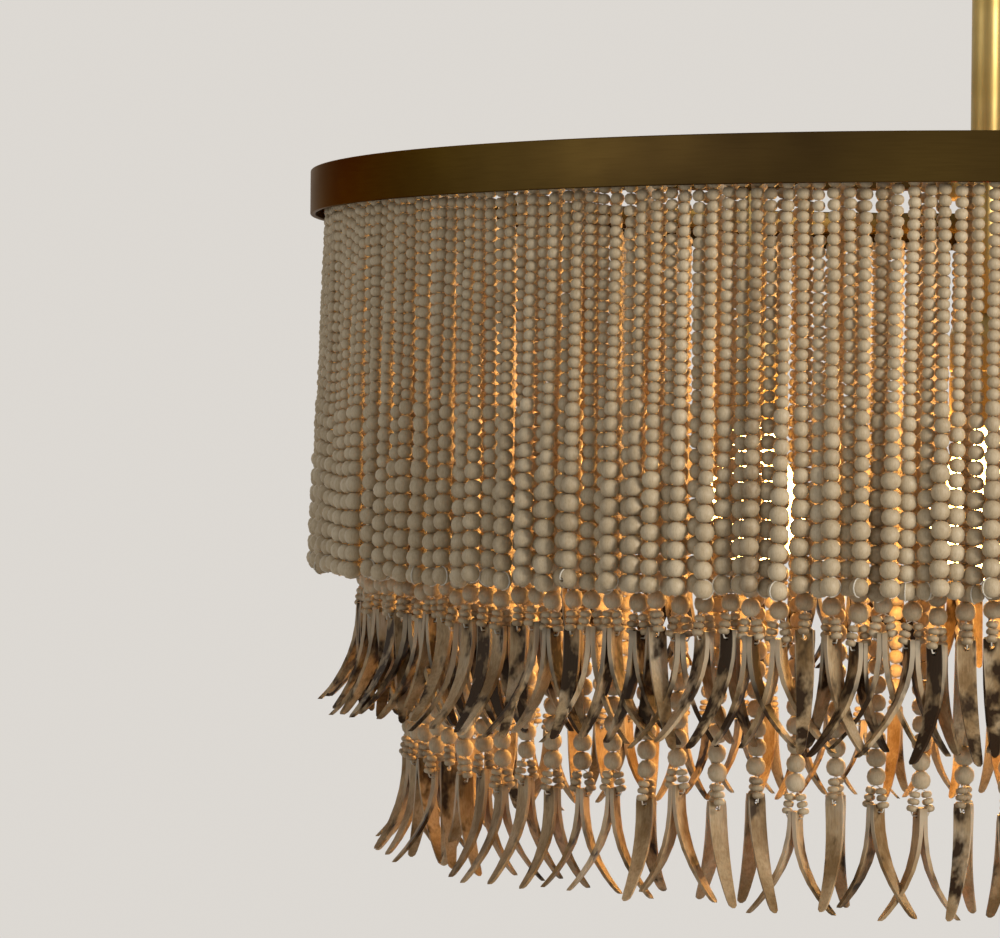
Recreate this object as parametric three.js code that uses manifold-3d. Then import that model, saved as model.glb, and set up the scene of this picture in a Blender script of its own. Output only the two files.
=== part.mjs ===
// A beaded chandelier: a brass ring on a rod, with three tiers of bead strands hung inside the ring.
// Millimetres, +Z up. The origin is on the ceiling, on the axis of the rod.

import * as THREE from 'three';
import { mergeVertices } from 'three/addons/utils/BufferGeometryUtils.js';
import Module from 'manifold-3d';

const wasm = await Module();
wasm.setup();

// Gaps that every fit is made with
const touch_gap = 0.3;
const pin_gap = 0.3;
const cut_overrun = 1;

// Ring band and the frame inside it
const ring_radius = 381;
const ring_height = 24.3;
const ring_wall = 3;
const arm_width = 22;
const arm_thickness = 6;
const hub_radius = 24;
const hub_rise = 6;
const hub_height = 18;
const hub_nut_radius = 14;
const hub_nut_height = 9;
const rail_width = 3;
const rail_height = 8;

// Where the three tiers hang, each measured in from the one outside it
const outer_tier_inset = 8;
const middle_tier_inset = 21;
const inner_tier_inset = 27;

// Rods and the coupler between them
const rod_radius = 9.5;
const rod_wall = 1.2;
const upper_rod_length = 152;
const lower_rod_length = 305;
const rod_seat_depth = 14;
const coupler_radius = 11.5;
const coupler_height = 16;
const spigot_length = 14;

// Ceiling bracket and canopy cup
const canopy_radius = 70;
const canopy_depth = 30;
const canopy_wall = 1.5;
const canopy_shoulder = 12;
const bracket_width = 18;
const bracket_thickness = 2.5;
const bracket_ear = 16;
const side_screw_drop = 12;
const side_screw_radius = 2;
const side_screw_head_radius = 4.5;
const side_screw_head_height = 3;
const side_screw_reach = 3;

// Hang-straight swivel: an upper yoke, a cross block and a lower yoke
const swivel_drop = 18;
const swivel_tilt = 15;
const swivel_block = 11;
const swivel_pin_radius = 2.5;
const cheek_gap = 0.5;
const cheek_width = 8;
const cheek_thickness = 3;
const cheek_overhang = 5;
const yoke_flange_radius = 10;
const yoke_flange_height = 3.2;
const yoke_stub_radius = 5;
const lower_yoke_drop = 13;
const lower_yoke_base = 5;

// Lamps, one under each arm
const lamp_radius_from_axis = 130;
const drop_tube_radius = 6.5;
const drop_tube_wall = 1.2;
const holder_drop = 80;
const holder_radius = 19;
const holder_height = 60;
const holder_lip = 1.2;
const holder_shoulder = 9.5;
const holder_bore_depth = 26;
const bulb_radius = 30;
const bulb_length = 81;
const bulb_neck_radius = 14.5;
const bulb_base_radius = 13;
const bulb_base_length = 24;

// Bead strands. Beads grow down each strand, from small to big
const small_bead = 6;
const big_bead = 10;
const outer_stagger = 3.5;
const outer_flare = 4;
const band_width = 9.5;
const band_thickness = 3;
const band_swing = 12;
const swing_setback = 2;
const sector_gap = 1.2;
const outer_strand_drop = 223.7;
const middle_strand_drop = 232.7;
const inner_strand_drop = 313.7;

// Pairs of slats that end the middle and inner strands
const slat_pair_length = 68;
const slat_width = 9.5;
const slat_tip_width = 5;
const slat_thickness = 2.5;
const slat_outer_flare = 27;
const slat_tip_clearance = 1.5;
const slat_bend_height_share = 0.53;
const slat_bend_offset_share = 0.27;

// How many of each there are
const sectors = 8;
const outer_per_sector = 38;
const middle_per_sector = 21;
const inner_per_sector = 12;
const lamps = 4;
const middle_slat_turn = 35;
const inner_slat_turn = 50;

// Facets around round pieces
const ring_facets = 40;
const rod_facets = 12;
const screw_facets = 8;
const canopy_facets = 16;
const bulb_facets = 10;
const band_facets = 5;

const full_turn = 2 * Math.PI;
const half = 1 / 2;

// Heights worked out from the sizes above, going down from the ceiling
const pivot_z = -swivel_drop;
const lower_yoke_top_z = pivot_z - lower_yoke_drop;
const upper_rod_top_z = lower_yoke_top_z - lower_yoke_base - touch_gap;
const upper_rod_bottom_z = upper_rod_top_z - upper_rod_length;
const coupler_top_z = upper_rod_bottom_z - touch_gap;
const coupler_bottom_z = coupler_top_z - coupler_height;
const lower_rod_top_z = coupler_bottom_z - touch_gap;
const lower_rod_bottom_z = lower_rod_top_z - lower_rod_length;
const hub_top_z = lower_rod_bottom_z + rod_seat_depth;
const ring_top_z = hub_top_z - hub_rise;
const hub_bottom_z = hub_top_z - hub_height;
const arm_top_z = ring_top_z - touch_gap;
const arm_bottom_z = arm_top_z - arm_thickness;
const rail_top_z = arm_bottom_z - touch_gap;
const rail_bottom_z = rail_top_z - rail_height;
const holder_top_z = ring_top_z - holder_drop;
const holder_bottom_z = holder_top_z - holder_height;

// Radii of the tiers, going in from the ring band
const ring_inner_radius = ring_radius - ring_wall;
const outer_tier_radius = ring_inner_radius - outer_tier_inset;
const middle_tier_radius = outer_tier_radius - middle_tier_inset;
const inner_tier_radius = middle_tier_radius - inner_tier_inset;
const rod_bore = rod_radius - rod_wall;

function finish(colour, metalness, roughness) {
  return new THREE.MeshStandardMaterial({ color: colour, metalness, roughness });
}

const aged_brass = () => finish(0x8c7340, 1, 0.35);
const dark_band_brass = () => finish(0x4a3614, 1, 0.42);
const washed_wood = () => finish(0xb9ad95, 0, 0.7);
const warm_glass = () => finish(0xfff1d0, 0, 0.2);

// Shared vertices are merged, collapsed triangles go, and faces end up pointing out
function weld(geometry) {
  const bare = geometry.clone();
  bare.deleteAttribute('normal');
  bare.deleteAttribute('uv');
  const merged = mergeVertices(bare);
  const places = merged.attributes.position;
  const index = merged.index.array;
  const corner = (i) => new THREE.Vector3().fromBufferAttribute(places, i);
  const kept = [];
  let volume = 0;
  for (let i = 0; i < index.length; i += 3) {
    const [a, b, c] = [index[i], index[i + 1], index[i + 2]];
    if (a === b || b === c || c === a) continue;
    volume += corner(a).dot(corner(b).cross(corner(c)));
    kept.push([a, b, c]);
  }
  const order = volume < 0 ? kept.map(([a, b, c]) => [a, c, b]) : kept;
  merged.setIndex(order.flat());
  return merged;
}

function toSolid(geometry) {
  const welded = weld(geometry);
  const vertProperties = new Float32Array(welded.attributes.position.array);
  const triVerts = new Uint32Array(welded.index.array);
  return new wasm.Manifold(new wasm.Mesh({ numProp: 3, vertProperties, triVerts }));
}

function toGeometry(solid) {
  const mesh = solid.getMesh();
  const geometry = new THREE.BufferGeometry();
  geometry.setAttribute('position', new THREE.BufferAttribute(mesh.vertProperties, 3));
  geometry.setIndex(new THREE.BufferAttribute(mesh.triVerts, 1));
  return geometry;
}

function join(first, ...others) {
  return toGeometry(others.reduce((sum, g) => sum.add(toSolid(g)), toSolid(first)));
}

function cut(body, ...tools) {
  return toGeometry(tools.reduce((rest, g) => rest.subtract(toSolid(g)), toSolid(body)));
}

// A round piece about the Z axis, from [radius, z] points
function turned(points, facets) {
  const outline = points.map(([r, z]) => new THREE.Vector2(r, z));
  return weld(new THREE.LatheGeometry(outline, facets).rotateX(Math.PI / 2));
}

// How near the axis the flats of a round piece come
function flatRadius(radius, facets) {
  return radius * Math.cos(Math.PI / facets);
}

function ringSection(inner, outer, bottom, top, facets) {
  const corners = [[outer, bottom], [outer, top], [inner, top], [inner, bottom], [outer, bottom]];
  return turned(corners, facets);
}

function disc(radius, bottom, top, facets) {
  return turned([[0, bottom], [radius, bottom], [radius, top], [0, top]], facets);
}

// A box given by its lowest and highest corners
function block(low, high) {
  const size = high.map((h, i) => h - low[i]);
  const middle = high.map((h, i) => (h + low[i]) * half);
  return new THREE.BoxGeometry(...size).translate(...middle);
}

// A round bar along X, from one x to another, at a given height
function barAlongX(radius, from, to, z) {
  const bar = new THREE.CylinderGeometry(radius, radius, to - from, screw_facets);
  return bar.rotateZ(Math.PI / 2).translate((from + to) * half, 0, z);
}

function named(name, geometry, material) {
  const mesh = new THREE.Mesh(geometry, material);
  mesh.name = name;
  return mesh;
}

// Ceiling bracket: a flat strap with an ear turned down at each end and a hole for the swivel's stub
const canopy_bore = canopy_radius - canopy_wall;
const bracket_half_width = bracket_width * half;
const bracket_limit = flatRadius(canopy_bore, canopy_facets) - touch_gap;
const bracket_reach = Math.sqrt(bracket_limit ** 2 - bracket_half_width ** 2);

function ceilingBracket() {
  const strap = block(
    [-bracket_reach, -bracket_half_width, -bracket_thickness],
    [bracket_reach, bracket_half_width, 0]
  );
  const ear = block(
    [bracket_reach - bracket_thickness, -bracket_half_width, -bracket_ear],
    [bracket_reach, bracket_half_width, -bracket_thickness * half]
  );
  const otherEar = ear.clone().rotateZ(Math.PI);
  const below = -bracket_thickness - cut_overrun;
  const beyond = bracket_reach + cut_overrun;
  const stubHole = disc(yoke_stub_radius + pin_gap, below, cut_overrun, rod_facets);
  const screwHole = barAlongX(side_screw_radius + pin_gap, -beyond, beyond, -side_screw_drop);
  const strapWithEars = join(strap, ear, otherEar);
  return named('ceiling_bracket', cut(strapWithEars, stubHole, screwHole), aged_brass());
}

// The hole in the canopy's floor lets the tilted lower yoke and rod swing without touching
const yoke_reach = Math.hypot(swivel_block * half + cheek_gap + cheek_thickness, cheek_width * half);
const corner_tilt = Math.SQRT2 * swivel_tilt * Math.PI / 180;
const yoke_drift = (canopy_depth - swivel_drop) * Math.tan(corner_tilt);
const canopy_hole = (yoke_reach + yoke_drift) / Math.cos(corner_tilt) + cheek_gap;

function canopy() {
  const outer = [];
  const inner = [];
  const steps = 3;
  for (let i = 0; i <= steps; i++) {
    const turn = (i / steps) * Math.PI / 2;
    const around = (radius) => [
      canopy_radius - canopy_shoulder + radius * Math.cos(turn),
      canopy_shoulder - canopy_depth - radius * Math.sin(turn)
    ];
    outer.push(around(canopy_shoulder));
    inner.unshift(around(canopy_shoulder - canopy_wall));
  }
  const floor = [[canopy_hole, -canopy_depth], [canopy_hole, canopy_wall - canopy_depth]];
  const outline = [[canopy_radius, 0], ...outer, ...floor, ...inner, [canopy_bore, 0], [canopy_radius, 0]];
  const beyond = canopy_radius + cut_overrun;
  const screwHole = barAlongX(side_screw_radius + pin_gap, -beyond, beyond, -side_screw_drop);
  return named('canopy', cut(turned(outline, canopy_facets), screwHole), aged_brass());
}

function canopyScrew(side) {
  const head_start = canopy_radius + touch_gap;
  const head_end = head_start + side_screw_head_height;
  const head = barAlongX(side_screw_head_radius, head_start, head_end, -side_screw_drop);
  const shank_end = bracket_reach - bracket_thickness - side_screw_reach;
  const inside_head = (head_start + head_end) * half;
  const shank = barAlongX(side_screw_radius, shank_end, inside_head, -side_screw_drop);
  const geometry = join(head, shank);
  if (side < 0) geometry.rotateZ(Math.PI);
  return named(side < 0 ? 'canopy_screw_left' : 'canopy_screw_right', geometry, aged_brass());
}

// A pair of cheeks that stand either side of the cross block, along X
function cheekPair(bottom, top) {
  const inside = swivel_block * half + cheek_gap;
  const outside = inside + cheek_thickness;
  const right = block([inside, -cheek_width * half, bottom], [outside, cheek_width * half, top]);
  const left = right.clone().rotateZ(Math.PI);
  const reach = outside + cut_overrun;
  const pinHole = barAlongX(swivel_pin_radius + pin_gap, -reach, reach, pivot_z);
  return { right, left, pinHole };
}

function swivelUpperYoke() {
  const flange_top = -bracket_thickness - touch_gap;
  const flange_bottom = flange_top - yoke_flange_height;
  const inside_flange = (flange_top + flange_bottom) * half;
  const { right, left, pinHole } = cheekPair(pivot_z - cheek_overhang, inside_flange);
  const flange = disc(yoke_flange_radius, flange_bottom, flange_top, rod_facets);
  const stub = disc(yoke_stub_radius, inside_flange, -touch_gap, rod_facets);
  return named('swivel_upper_yoke', cut(join(flange, stub, right, left), pinHole), aged_brass());
}

function swivelCross() {
  const side = swivel_block * half;
  const centre = block([-side, -side, pivot_z - side], [side, side, pivot_z + side]);
  const pin_end = side + cheek_gap + cheek_thickness;
  const pinX = barAlongX(swivel_pin_radius, -pin_end, pin_end, pivot_z);
  const pinY = pinX.clone().rotateZ(Math.PI / 2);
  return named('swivel_cross', join(centre, pinX, pinY), aged_brass());
}

function swivelLowerYoke() {
  const base_bottom = lower_yoke_top_z - lower_yoke_base;
  const inside_base = (base_bottom + lower_yoke_top_z) * half;
  const { right, left, pinHole } = cheekPair(inside_base, pivot_z + cheek_overhang);
  const base = disc(rod_radius, base_bottom, lower_yoke_top_z, rod_facets);
  const spigot = disc(rod_bore - pin_gap, base_bottom - spigot_length, inside_base, rod_facets);
  const geometry = cut(join(base, spigot, right, left), pinHole).rotateZ(Math.PI / 2);
  return named('swivel_lower_yoke', geometry, aged_brass());
}

function rod(name, bottom, top) {
  return named(name, ringSection(rod_bore, rod_radius, bottom, top, rod_facets), aged_brass());
}

function rodCoupler() {
  const collar = disc(coupler_radius, coupler_bottom_z, coupler_top_z, rod_facets);
  const [low, high] = [coupler_bottom_z - spigot_length, coupler_top_z + spigot_length];
  const spigots = disc(rod_bore - pin_gap, low, high, rod_facets);
  return named('rod_coupler', join(collar, spigots), aged_brass());
}

function hub() {
  const geometry = ringSection(rod_radius + pin_gap, hub_radius, hub_bottom_z, hub_top_z, canopy_facets);
  return named('hub', geometry, aged_brass());
}

function hubNut() {
  const top = hub_bottom_z - touch_gap;
  const nut = disc(hub_nut_radius, top - hub_nut_height, top, rod_facets);
  const inside_nut = top - hub_nut_height * half;
  const plug = disc(rod_bore - pin_gap, inside_nut, lower_rod_bottom_z + spigot_length, rod_facets);
  return named('hub_nut', join(nut, plug), aged_brass());
}

// One arm lies along +X and is turned to its place
const arm_limit = flatRadius(ring_inner_radius, ring_facets) - touch_gap;
const arm_reach = Math.sqrt(arm_limit ** 2 - (arm_width * half) ** 2);

function arm(name, turn) {
  const bar = block(
    [hub_radius + touch_gap, -arm_width * half, arm_bottom_z],
    [arm_reach, arm_width * half, arm_top_z]
  );
  return named(name, bar.rotateZ(turn), dark_band_brass());
}

function ringBand() {
  const bottom = ring_top_z - ring_height;
  const geometry = ringSection(ring_inner_radius, ring_radius, bottom, ring_top_z, ring_facets);
  return named('ring_band', geometry, dark_band_brass());
}

function strandRail(name, radius) {
  const [inner, outer] = [radius - rail_width * half, radius + rail_width * half];
  const geometry = ringSection(inner, outer, rail_bottom_z, rail_top_z, ring_facets);
  return named(name, geometry, dark_band_brass());
}

function dropTube(name, turn) {
  const tube = ringSection(
    drop_tube_radius - drop_tube_wall, drop_tube_radius,
    holder_top_z + touch_gap, arm_bottom_z - touch_gap, rod_facets
  );
  return named(name, tube.translate(lamp_radius_from_axis, 0, 0).rotateZ(turn), aged_brass());
}

// The bore stays clear of the round base even at its flats
const holder_bore = (bulb_base_radius + pin_gap) / Math.cos(Math.PI / rod_facets);

function lampHolder(name, turn) {
  const bore_top = holder_bottom_z + holder_bore_depth;
  const outline = [
    [0, holder_top_z], [drop_tube_radius + holder_lip, holder_top_z],
    [holder_radius, holder_top_z - holder_shoulder], [holder_radius, holder_bottom_z],
    [holder_bore, holder_bottom_z], [holder_bore, bore_top], [0, bore_top]
  ];
  const cup = turned(outline, rod_facets);
  return named(name, cup.translate(lamp_radius_from_axis, 0, 0).rotateZ(turn), aged_brass());
}

// The glass hangs just under the holder, and its screw base stands up inside the bore
function bulb(name, turn) {
  const glass_top = holder_bottom_z - touch_gap;
  const centre = glass_top - bulb_length + bulb_radius;
  const outline = [
    [0, glass_top + bulb_base_length],
    [bulb_base_radius, glass_top + bulb_base_length],
    [bulb_base_radius, glass_top],
    [bulb_neck_radius, glass_top - touch_gap],
  ];
  const steps = 6;
  const start = Math.PI / 5;
  for (let i = 0; i < steps; i++) {
    const turn_down = start + (i / steps) * (Math.PI - start);
    outline.push([bulb_radius * Math.sin(turn_down), centre + bulb_radius * Math.cos(turn_down)]);
  }
  outline.push([0, centre - bulb_radius]);
  const glass = turned(outline, bulb_facets);
  return named(name, glass.translate(lamp_radius_from_axis, 0, 0).rotateZ(turn), warm_glass());
}

// Skin over rings of points, one ring after another from top to bottom, with the given triangles added
function skin(rings, extra) {
  const corners = rings.flat();
  const sides = rings[0].length;
  const faces = [];
  for (let k = 0; k + 1 < rings.length; k++) {
    for (let i = 0; i < sides; i++) {
      const next = (i + 1) % sides;
      const [a, b] = [k * sides + i, k * sides + next];
      const [c, d] = [a + sides, b + sides];
      faces.push([a, c, b], [b, c, d]);
    }
  }
  return { corners, faces: faces.concat(extra) };
}

function merged(pieces) {
  const positions = [];
  for (const { corners, faces } of pieces) {
    for (const face of faces) {
      for (const i of face) positions.push(...corners[i]);
    }
  }
  const geometry = new THREE.BufferGeometry();
  geometry.setAttribute('position', new THREE.Float32BufferAttribute(positions, 3));
  return geometry;
}

// A point at a strand's place: out along its flare direction, across it, and at a height
function placer(radius, angle, turn) {
  const centre = [radius * Math.cos(angle), radius * Math.sin(angle)];
  const out = [Math.cos(angle + turn), Math.sin(angle + turn)];
  return (u, v, z) => [centre[0] + u * out[0] - v * out[1], centre[1] + u * out[1] + v * out[0], z];
}

// Swing of a panel: its top has to clear the rail above it when the panel swings out
const half_sector = Math.PI / sectors;
const swing_turn = band_swing * Math.PI / 180;

function swingGap(radius) {
  const balance_radius = radius * Math.sin(half_sector) / half_sector;
  const ahead_of_pivot = radius + band_width * half - (balance_radius - swing_setback);
  return ahead_of_pivot * Math.sin(swing_turn) + touch_gap;
}

// An outer strand has three sides, its flat one where its beads reach furthest.
// Every second strand stands a little out, and the others in.
function outerStrand(angle, top, bottom, outward) {
  const side = outward ? 1 : -1;
  const triangle = (radius, width, z) => {
    const at = placer(radius, angle, 0);
    const depth = width * Math.sqrt(3) * half;
    const flat = side * width * half;
    const peak = flat - side * depth;
    const ring = [at(flat, -width * half, z), at(flat, width * half, z), at(peak, 0, z)];
    return outward ? ring : ring.reverse();
  };
  const low_radius = outer_tier_radius + outer_flare + side * outer_stagger;
  const rings = [triangle(outer_tier_radius, small_bead, top), triangle(low_radius, big_bead, bottom)];
  return skin(rings, [[0, 1, 2], [3, 5, 4]]);
}

// A slatted strand has four sides, then parts under its last bead into two legs, one for each slat
function slattedStrand(radius, angle, turn, top, bottom, inner_flare) {
  const at = placer(radius, angle, turn);
  const round_share = Math.sqrt(Math.PI) * half;
  const [small, big] = [small_bead * round_share * half, big_bead * round_share * half];
  const square = (s, z) => [at(s, -s, z), at(s, s, z), at(-s, s, z), at(-s, -s, z)];
  const { corners, faces } = skin([square(small, top), square(big, bottom)], [[0, 1, 2], [0, 2, 3]]);
  const crotch = corners.push(at(0, 0, bottom)) - 1;
  const [outLeft, outRight, inRight, inLeft] = [4, 5, 6, 7];
  faces.push([outLeft, inLeft, crotch], [outRight, crotch, inRight]);
  const bend_z = bottom - slat_pair_length * slat_bend_height_share;
  const tip_z = bottom - slat_pair_length;
  const leg = (first, second, side, flare) => {
    const stations = [
      [flare * slat_bend_offset_share, slat_width, bend_z],
      [flare, slat_tip_width, tip_z]
    ];
    let ring = [first, second, crotch];
    for (const [offset, width, z] of stations) {
      const face = side * (offset + slat_thickness * half);
      const ridge = side * (offset - slat_thickness * half);
      const next = [
        corners.push(at(face, -side * width * half, z)) - 1,
        corners.push(at(face, side * width * half, z)) - 1,
        corners.push(at(ridge, 0, z)) - 1
      ];
      for (let i = 0; i < 3; i++) {
        const j = (i + 1) % 3;
        faces.push([ring[i], next[i], ring[j]], [ring[j], next[i], next[j]]);
      }
      ring = next;
    }
    faces.push([ring[0], ring[2], ring[1]]);
  };
  leg(outLeft, outRight, 1, slat_outer_flare);
  leg(inRight, inLeft, -1, inner_flare);
  return { corners, faces };
}

// A thread band: the flat arc that the tops of a panel's strands are tied to
function threadBand(radius, middle_angle, top) {
  const reach = half_sector - sector_gap * half / radius;
  const [start, end] = [middle_angle - reach, middle_angle + reach];
  const outline = new THREE.Shape();
  outline.absarc(0, 0, radius + band_width * half, start, end, false);
  outline.absarc(0, 0, radius - band_width * half, end, start, true);
  const options = { depth: band_thickness, bevelEnabled: false, curveSegments: band_facets };
  return toSolid(new THREE.ExtrudeGeometry(outline, options).translate(0, 0, top - band_thickness));
}

// One sector of one tier: a thread band with its strands. The two end strands run up to the rail
function panel(name, radius, sector, count, makeStrand) {
  const middle_angle = (sector + half) * 2 * half_sector;
  const top = rail_bottom_z - swingGap(radius);
  const strands = [];
  for (let i = 0; i < count; i++) {
    const share = (i + half) / count;
    const angle = middle_angle + (2 * share - 1) * half_sector;
    const at_end = i === 0 || i === count - 1;
    const strand_top = at_end ? rail_bottom_z - touch_gap : top - band_thickness * half;
    strands.push(makeStrand(angle, strand_top, share, i));
  }
  const solid = threadBand(radius, middle_angle, top).add(toSolid(merged(strands)));
  return named(name, toGeometry(solid), washed_wood());
}

function outerPanel(sector) {
  const bottom = ring_top_z - outer_strand_drop;
  const strand = (angle, top, share, i) => outerStrand(angle, top, bottom, i % 2 === 0);
  return panel(`strands_outer_${sector + 1}`, outer_tier_radius, sector, outer_per_sector, strand);
}

// Slats stand square to the rail at a sector's ends and turn more towards its middle
function slattedPanel(name, radius, sector, count, drop, most_turn, inner_flare) {
  const bottom = ring_top_z - drop;
  const strand = (angle, top, share) => {
    const turn = Math.sin(share * Math.PI) * most_turn * Math.PI / 180;
    return slattedStrand(radius, angle, turn, top, bottom, inner_flare);
  };
  return panel(`${name}_${sector + 1}`, radius, sector, count, strand);
}

const middle_inner_flare = inner_tier_inset - (big_bead + slat_thickness) * half - slat_tip_clearance;

const chandelier = new THREE.Group();
chandelier.add(
  ceilingBracket(), canopy(), canopyScrew(1), canopyScrew(-1),
  swivelUpperYoke(), swivelCross(), swivelLowerYoke(),
  rod('upper_rod', upper_rod_bottom_z, upper_rod_top_z), rodCoupler(),
  rod('lower_rod', lower_rod_bottom_z, lower_rod_top_z),
  hub(), hubNut(), ringBand(),
  strandRail('strand_rail_outer', outer_tier_radius),
  strandRail('strand_rail_middle', middle_tier_radius),
  strandRail('strand_rail_inner', inner_tier_radius)
);

const sides = ['right', 'back', 'left', 'front'];
for (let i = 0; i < lamps; i++) {
  const turn = (i / lamps) * full_turn;
  chandelier.add(
    arm(`arm_${sides[i]}`, turn), dropTube(`drop_tube_${sides[i]}`, turn),
    lampHolder(`lamp_holder_${sides[i]}`, turn), bulb(`bulb_${sides[i]}`, turn)
  );
}

for (let sector = 0; sector < sectors; sector++) {
  chandelier.add(
    outerPanel(sector),
    slattedPanel(
      'strands_middle', middle_tier_radius, sector, middle_per_sector,
      middle_strand_drop, middle_slat_turn, middle_inner_flare
    ),
    slattedPanel(
      'strands_inner', inner_tier_radius, sector, inner_per_sector,
      inner_strand_drop, inner_slat_turn, slat_outer_flare
    )
  );
}

export default chandelier;
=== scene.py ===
"""Beaded chandelier: a brass ring on a rod, hung with graded bead strands and pairs of slats."""

import math
import random

import bmesh
import bpy
from bpy.props import FloatProperty, FloatVectorProperty, IntProperty, PointerProperty
from mathutils import Euler, Matrix, Quaternion, Vector


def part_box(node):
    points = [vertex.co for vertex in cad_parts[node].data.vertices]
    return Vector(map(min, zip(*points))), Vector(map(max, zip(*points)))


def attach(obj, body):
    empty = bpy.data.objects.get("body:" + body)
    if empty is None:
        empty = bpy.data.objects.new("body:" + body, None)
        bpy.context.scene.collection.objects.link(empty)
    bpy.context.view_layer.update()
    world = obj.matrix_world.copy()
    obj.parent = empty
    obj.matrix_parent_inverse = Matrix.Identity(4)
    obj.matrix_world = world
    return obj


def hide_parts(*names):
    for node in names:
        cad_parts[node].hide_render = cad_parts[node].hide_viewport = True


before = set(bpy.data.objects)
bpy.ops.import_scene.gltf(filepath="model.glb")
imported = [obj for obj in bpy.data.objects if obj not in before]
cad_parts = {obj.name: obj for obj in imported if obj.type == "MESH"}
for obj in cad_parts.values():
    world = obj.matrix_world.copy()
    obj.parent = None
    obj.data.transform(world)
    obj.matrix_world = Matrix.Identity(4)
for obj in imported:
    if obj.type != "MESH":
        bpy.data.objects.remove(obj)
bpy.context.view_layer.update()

bl_info = {
    "name": "Beaded chandelier",
    "version": (1, 0, 0),
    "blender": (4, 5, 0),
    "location": "View3D > Sidebar > Chandelier",
    "description": "Dresses a chandelier frame with beads, slats, threads, lamps and brass",
    "category": "Object",
}

# Counts, the same as in the frame
SIDES = ("right", "back", "left", "front")
TIERS = ("outer", "middle", "inner")
SECTORS = 8
STRANDS_PER_SECTOR = {"outer": 38, "middle": 21, "inner": 12}
PANELS = tuple((tier, sector) for tier in TIERS for sector in range(SECTORS))

# Places read from the frame, and thicknesses, in metres
RING_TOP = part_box("ring_band")[1].z
RAIL_WIDTH = 0.003
RAIL_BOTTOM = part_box("strand_rail_outer")[0].z
RAIL_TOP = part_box("strand_rail_outer")[1].z
TIER_RADIUS = {t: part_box(f"strand_rail_{t}")[1].x - RAIL_WIDTH / 2 for t in TIERS}
TIER_LOWEST = {t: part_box(f"strands_{t}_1")[0].z for t in TIERS}
AIR = 0.0003
TUBE_WALL = 0.0012
RING_WALL = 0.003
CANOPY_WALL, CANOPY_SHOULDER, CANOPY_HOLE = 0.0015, 0.012, 0.0178
SCREW_RADIUS, SCREW_HEAD, SHANK_RADIUS, SHANK_LENGTH = 0.0045, 0.003, 0.002, 0.009
SCREW_TEETH, SCREW_TOOTH_DEPTH = 24, 0.05
ARM_BEVEL = 0.0007
HOLDER_BORE, HOLDER_DEPTH = 0.0137, 0.026
BULB_RADIUS = 0.030
CAP_RADIUS, CAP_THREAD_DEPTH = 0.0128, 0.0008
THREAD_ROOT = 0.0035

# How the strands hang
BEADS_SMALL_MIDDLE_BIG = {"outer": (20, 5, 6), "middle": (20, 5, 7), "inner": (28, 8, 8)}
BEAD_SIDES = {"outer": 9, "middle": 8, "inner": 8}
SLAT_SPREAD = {"middle": 1.08, "inner": 0.90}
# Share of dark patches on each tier's slats: more on the middle tier as painted shade, fewer on the inner
# tier as painted light.
SLAT_SHADE_BY_TIER = {"middle": 0.78, "inner": 0.36}
# How far a tier's strands stand round from the frame's, in shares of one strand's room
TIER_SHIFT = {"outer": 0.0, "middle": -0.12, "inner": 0.12}
# How much of the foot sink a tier takes, and in how many waves round the ring
SINK_SHARE = {"middle": 0.4, "inner": 1.0}
SINK_WAVES = 53
# The outer strands part in one sector, between two strands, so that the left bulb shows
PARTED_SECTOR, PARTED_STRAND, PARTED_STRANDS_EACH_SIDE = 5, 25.5, 1.6
# How many outer strands stand in or out as their neighbour does, and how their feet close up
SAME_SIDE_SHARE = 0.22
SETTLING_ROUNDS, SETTLED_CLOSENESS, HOMING = 160, 0.985, 0.01
# The bare thread over the first bead, in top gaps, and the share of last beads with a loop
TOP_GAP_LEAST, TOP_GAP_MOST = 1.15, 1.9
LOOPED_SHARE = 0.8
# The least and most that a piece measures, as a share of its full size
BEAD_LEAST, BEAD_MOST = 0.955, 1.03
RONDELLE_LEAST, RONDELLE_MOST = 0.92, 1.04
SLAT_NARROWEST, SLAT_SHORTEST = 0.86, 0.93
# How far beads and rondelles lean on their thread, in radians, and how much they press together
BEAD_TUMBLE, RONDELLE_TUMBLE = 0.04, 0.08
BEAD_PRESS = 1.01
# The tone of a strand's wood, from 0 for dark to 1 for pale
LOT_MEAN, LOT_SPREAD, RONDELLE_LOT_SHIFT = 0.48, 0.16, -0.25
# A pair of slats turns in waves round the ring and by chance, and each slat leans in radians
TURN_WAVES, WAVE_TURN, CHANCE_TURN = 23, 0.6, 1.1
SLAT_LEAN, LEAN_SPREAD, HEADING_SPREAD = 0.028, 0.016, 0.05


def length(name, description, default):
    """A property that holds a size in metres."""
    return FloatProperty(name=name, description=description, default=default, unit="LENGTH", precision=4)


def share(name, description, default):
    """A property that holds a share from 0 to 1."""
    return FloatProperty(name=name, description=description, default=default, min=0, max=1, subtype="FACTOR")


def angle(name, description, degrees):
    """A property that holds an angle."""
    return FloatProperty(name=name, description=description, default=math.radians(degrees), subtype="ANGLE")


def colour(name, description, default):
    """A property that holds a linear colour."""
    return FloatVectorProperty(name=name, description=description, default=default, size=3, subtype="COLOR")


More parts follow.
